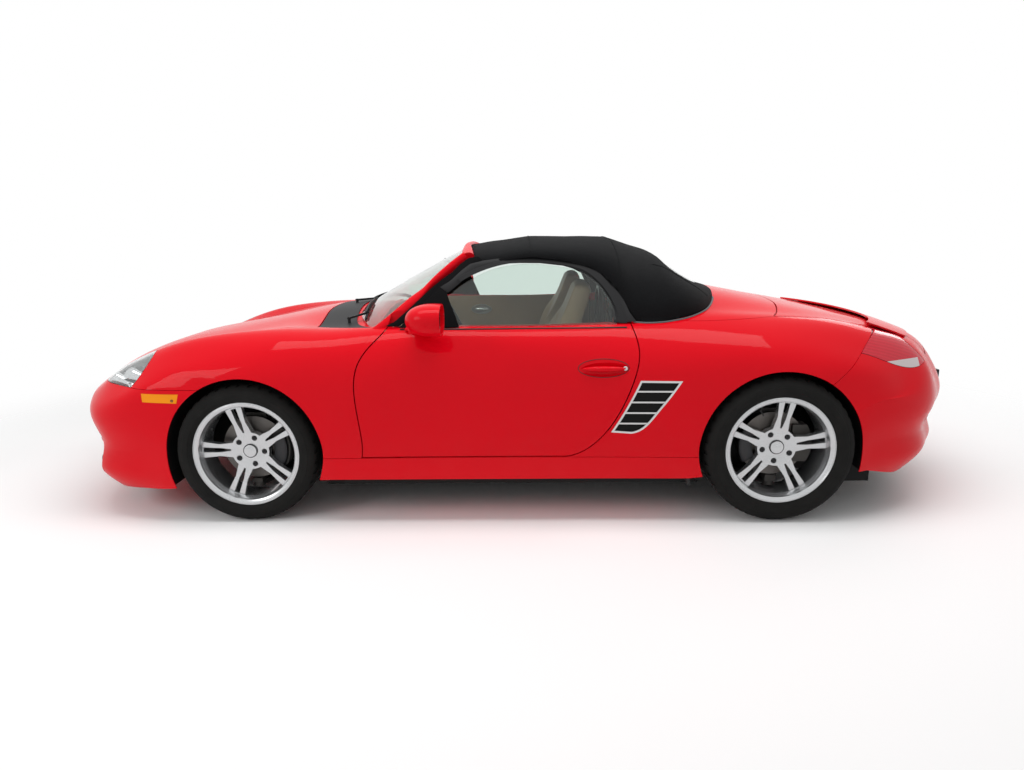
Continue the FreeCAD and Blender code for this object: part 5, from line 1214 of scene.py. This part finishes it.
roomMirror = dict(
    case=((-0.372, -0.115, 1.092), (-0.350, 0.115, 1.146)), caseBevel=0.010,
    glass=((-0.3505, -0.106, 1.099), (-0.3485, 0.106, 1.139)), glassBevel=0.0008,
    stem=((-0.366, 0, 1.135), (-0.385, 0, 1.150), (-0.402, 0, 1.152)), stemRadius=0.008,
)
doorPull = dict(
    x=-0.25, z=0.80, stretch=2.1, leverRadius=0.0065,
    cup=((0.002, 0.032), (-0.003, 0.031), (-0.003, 0.026), (-0.0005, 0.023), (-0.0005, 0.0)),  # out, up
    lever=((-0.285, -0.002, 0.800), (-0.272, -0.010, 0.801), (-0.245, -0.013, 0.800), (-0.212, -0.011, 0.797)),
)


def makeDials():
    shape = dialShape
    x, z = shape["x"], shape["z"]
    faces, rims = [], []
    for y, radius in shape["places"]:
        place = (x + shape["stands"], y, z)
        faces.append(drum("dial", place, radius, shape["depth"], axis="X", bevel=shape["bevel"]))
        ring = [(x + along, y, z + radius + beyond) for along, beyond in shape["rim"]]
        rims.append(lathe("dialRim", ring, (x, y, z), steps=48, axis=(1, 0, 0)))
    dress(joinAll("dials", faces), dialBlack)
    dress(joinAll("dialRims", rims), satinSilver)
    needles = []
    for y, radius in shape["places"]:
        path = [(x + along, y - radius * share, z - radius * share) for along, share in shape["needle"]]
        needles.append(tube("needle", path, shape["needleRadius"]))
    dress(joinAll("dialNeedles", needles), needleRed)


def makeVents():
    shape, vents = ventShape, []
    x, z, half, tall = shape["x"], shape["z"], shape["half"], shape["tall"]
    for y in shape["places"]:
        low, high = (x - shape["back"], y - half, z - tall), (x + shape["front"], y + half, z + tall)
        vent = block("vent", low, high, bevel=0.0)
        pickFaces(vent, lambda face: face.normal.x > 0.9)
        bpy.ops.mesh.inset(thickness=shape["inset"])
        pushOut((-shape["depth"], 0, 0))
        leaveEdit()
        vents.append(finishMesh(vent, bevel=shape["bevel"]))
        for k in range(shape["slats"]):
            level, short = z - tall + (k + 1) * 2 * tall / (shape["slats"] + 1), half - shape["slatShort"]
            low = (x - shape["slatFrom"], y - short, level - shape["slatHalf"])
            high = (x + shape["slatTo"], y + short, level + shape["slatHalf"])
            vents.append(block("slat", low, high, bevel=shape["slatBevel"]))
    dress(joinAll("dashVents", vents), satinBlack)


def makeCentrePanel():
    shape, x, half = centreShape, ventShape["x"], centreShape["radioHalf"]
    low, high = shape["radioHeight"]
    near, far = x - ventShape["back"], x + ventShape["front"]
    parts = [block("radio", (near, -half, low), (far, half, high), bevel=shape["radioBevel"])]
    for y in shape["knobs"]:
        place = (x + shape["knobOut"], y, shape["knobHeight"])
        parts.append(drum("knob", place, shape["knobRadius"], shape["knobDepth"], axis="X", bevel=shape["knobBevel"]))
    (near, far), (low, high) = shape["keyOut"], shape["keyHeight"]
    for k in range(shape["keys"]):
        left = shape["keyFrom"] + k * shape["keyStep"]
        right = left + shape["keyWidth"]
        parts.append(block("key", (x + near, left, low), (x + far, right, high), bevel=shape["keyBevel"]))
    dress(joinAll("centrePanel", parts), satinBlack)


def makeRoomMirror():
    case = block("insideMirror", *roomMirror["case"], bevel=roomMirror["caseBevel"], segments=4)
    dress(case, satinBlack)
    stem = tube("insideMirrorStem", roomMirror["stem"], roomMirror["stemRadius"])
    dress(stem, satinBlack)
    glass = block("insideMirrorGlass", *roomMirror["glass"], bevel=roomMirror["glassBevel"])
    dress(glass, mirrorFace, "chassis")


def makeDoorPulls():
    x, z = doorPull["x"], doorPull["z"]
    for side, sign in sides.items():
        door = side + "_door"
        inner = nodes[door + "_trim"].ray_cast((x, 0, z), (0, sign, 0))[1].y
        section = [(x, inner + sign * out, z + up) for out, up in doorPull["cup"]]
        cup = lathe(side + "_pullCup", section, (x, inner, z), steps=48)
        for vertex in cup.data.vertices:
            vertex.co.x = x + (vertex.co.x - x) * doorPull["stretch"]
        dress(cup, satinSilver, door)
        path = [(along, inner + sign * out, up) for along, out, up in doorPull["lever"]]
        dress(tube(side + "_pullLever", path, doorPull["leverRadius"]), satinSilver, door)


makeWindowFrames()
makeMirrorGlass()
makeDoorDetails()
makeFlaps()
makeTailDetails()
makeDials()
makeVents()
makeCentrePanel()
makeRoomMirror()
makeDoorPulls()
print("window frames, seals and trim ready")


# floor, light, camera

floorFade = dict(start=2.5, end=4.6, radius=5.6, colour=(0.93, 0.93, 0.93), darker=(0.89, 0.89, 0.89))


def makeFloor():
    clearSelection()
    bpy.ops.mesh.primitive_circle_add(radius=floorFade["radius"], vertices=96, fill_type="NGON", location=(0, 0, 0))
    floor = named("studioFloor")
    material, tree, shader = newMaterial("paleFloor", Roughness=0.95, Specular_IOR_Level=0.0)
    tinted(tree, shader, floorFade["colour"], floorFade["darker"], scale=1.0, amount=0.3)
    where = objectPlace(tree)
    reach = add(tree, "VectorMath", operation="LENGTH")
    fade = add(tree, "MapRange", interpolation_type="SMOOTHSTEP",
               From_Min=floorFade["start"], From_Max=floorFade["end"], To_Min=1.0, To_Max=0.0)
    wire(tree,
         (where, reach.inputs[0]),
         (reach.outputs["Value"], fade.inputs[0]),
         (fade.outputs[0], shader.inputs["Alpha"]))
    floor.data.materials.append(material)


worldLight = dict(cast=0.55, seen=1.0)  # strength for diffuse rays, and where the camera, glass and gloss see it


def makeWorld():
    world = bpy.data.worlds.new("studio")
    world.use_nodes = True
    bpy.context.scene.world = world
    tree = world.node_tree
    back = tree.nodes["Background"]
    back.inputs["Color"].default_value = (1, 1, 1, 1)
    path = add(tree, "LightPath")
    seen = path.outputs["Is Camera Ray"]
    for kind in ("Is Transmission Ray", "Is Glossy Ray"):
        seen = mathNode(tree, "MAXIMUM", seen, path.outputs[kind])
    strength = add(tree, "MapRange", To_Min=worldLight["cast"], To_Max=worldLight["seen"])
    wire(tree, (seen, strength.inputs[0]), (strength.outputs[0], back.inputs["Strength"]))


lamps = (  # name, place, aimed at, size, power
    ("overheadBox", (0.0, -0.8, 4.2), (0, 0, 0.5), (5.0, 1.6), 120.0),
    ("frontBox", (-4.5, -3.5, 3.0), (-0.8, 0, 0.5), (2.4, 2.0), 70.0),
    ("rearBox", (4.5, 3.0, 3.2), (0.5, 0, 0.6), (2.6, 2.0), 60.0),
)


def makeLamps():
    for name, place, target, size, power in lamps:
        light = bpy.data.lights.new(name, "AREA")
        light.shape = "RECTANGLE"
        light.size, light.size_y = size
        light.energy = power
        obj = bpy.data.objects.new(name, light)
        obj.location = place
        obj.rotation_euler = (Vector(target) - Vector(place)).to_track_quat("-Z", "Y").to_euler()
        bpy.context.scene.collection.objects.link(obj)


cameraSet = dict(
    place=(0.0415, -3.9194, 1.3343), yaw=-0.0218, pitch=0.2224, roll=-0.0132, lens=25.0, sensor=36.0, reach=100,
)


def makeCamera():
    yaw, pitch, roll = cameraSet["yaw"], cameraSet["pitch"], cameraSet["roll"]
    ahead = Vector((math.sin(yaw) * math.cos(pitch), math.cos(yaw) * math.cos(pitch), -math.sin(pitch)))
    side = Vector((math.cos(yaw), -math.sin(yaw), 0))
    up = side.cross(ahead)
    right = side * math.cos(roll) + up * math.sin(roll)
    top = up * math.cos(roll) - side * math.sin(roll)
    data = bpy.data.cameras.new("photoCamera")
    data.lens = cameraSet["lens"]
    data.sensor_width = cameraSet["sensor"]
    data.clip_end = cameraSet["reach"]
    camera = bpy.data.objects.new("photoCamera", data)
    camera.matrix_world = Matrix((right, top, -ahead)).transposed().to_4x4()
    camera.location = cameraSet["place"]
    bpy.context.scene.collection.objects.link(camera)
    bpy.context.scene.camera = camera


makeFloor()
makeWorld()
makeLamps()
makeCamera()
bpy.context.scene.view_settings.view_transform = "Standard"
print("scene ready")
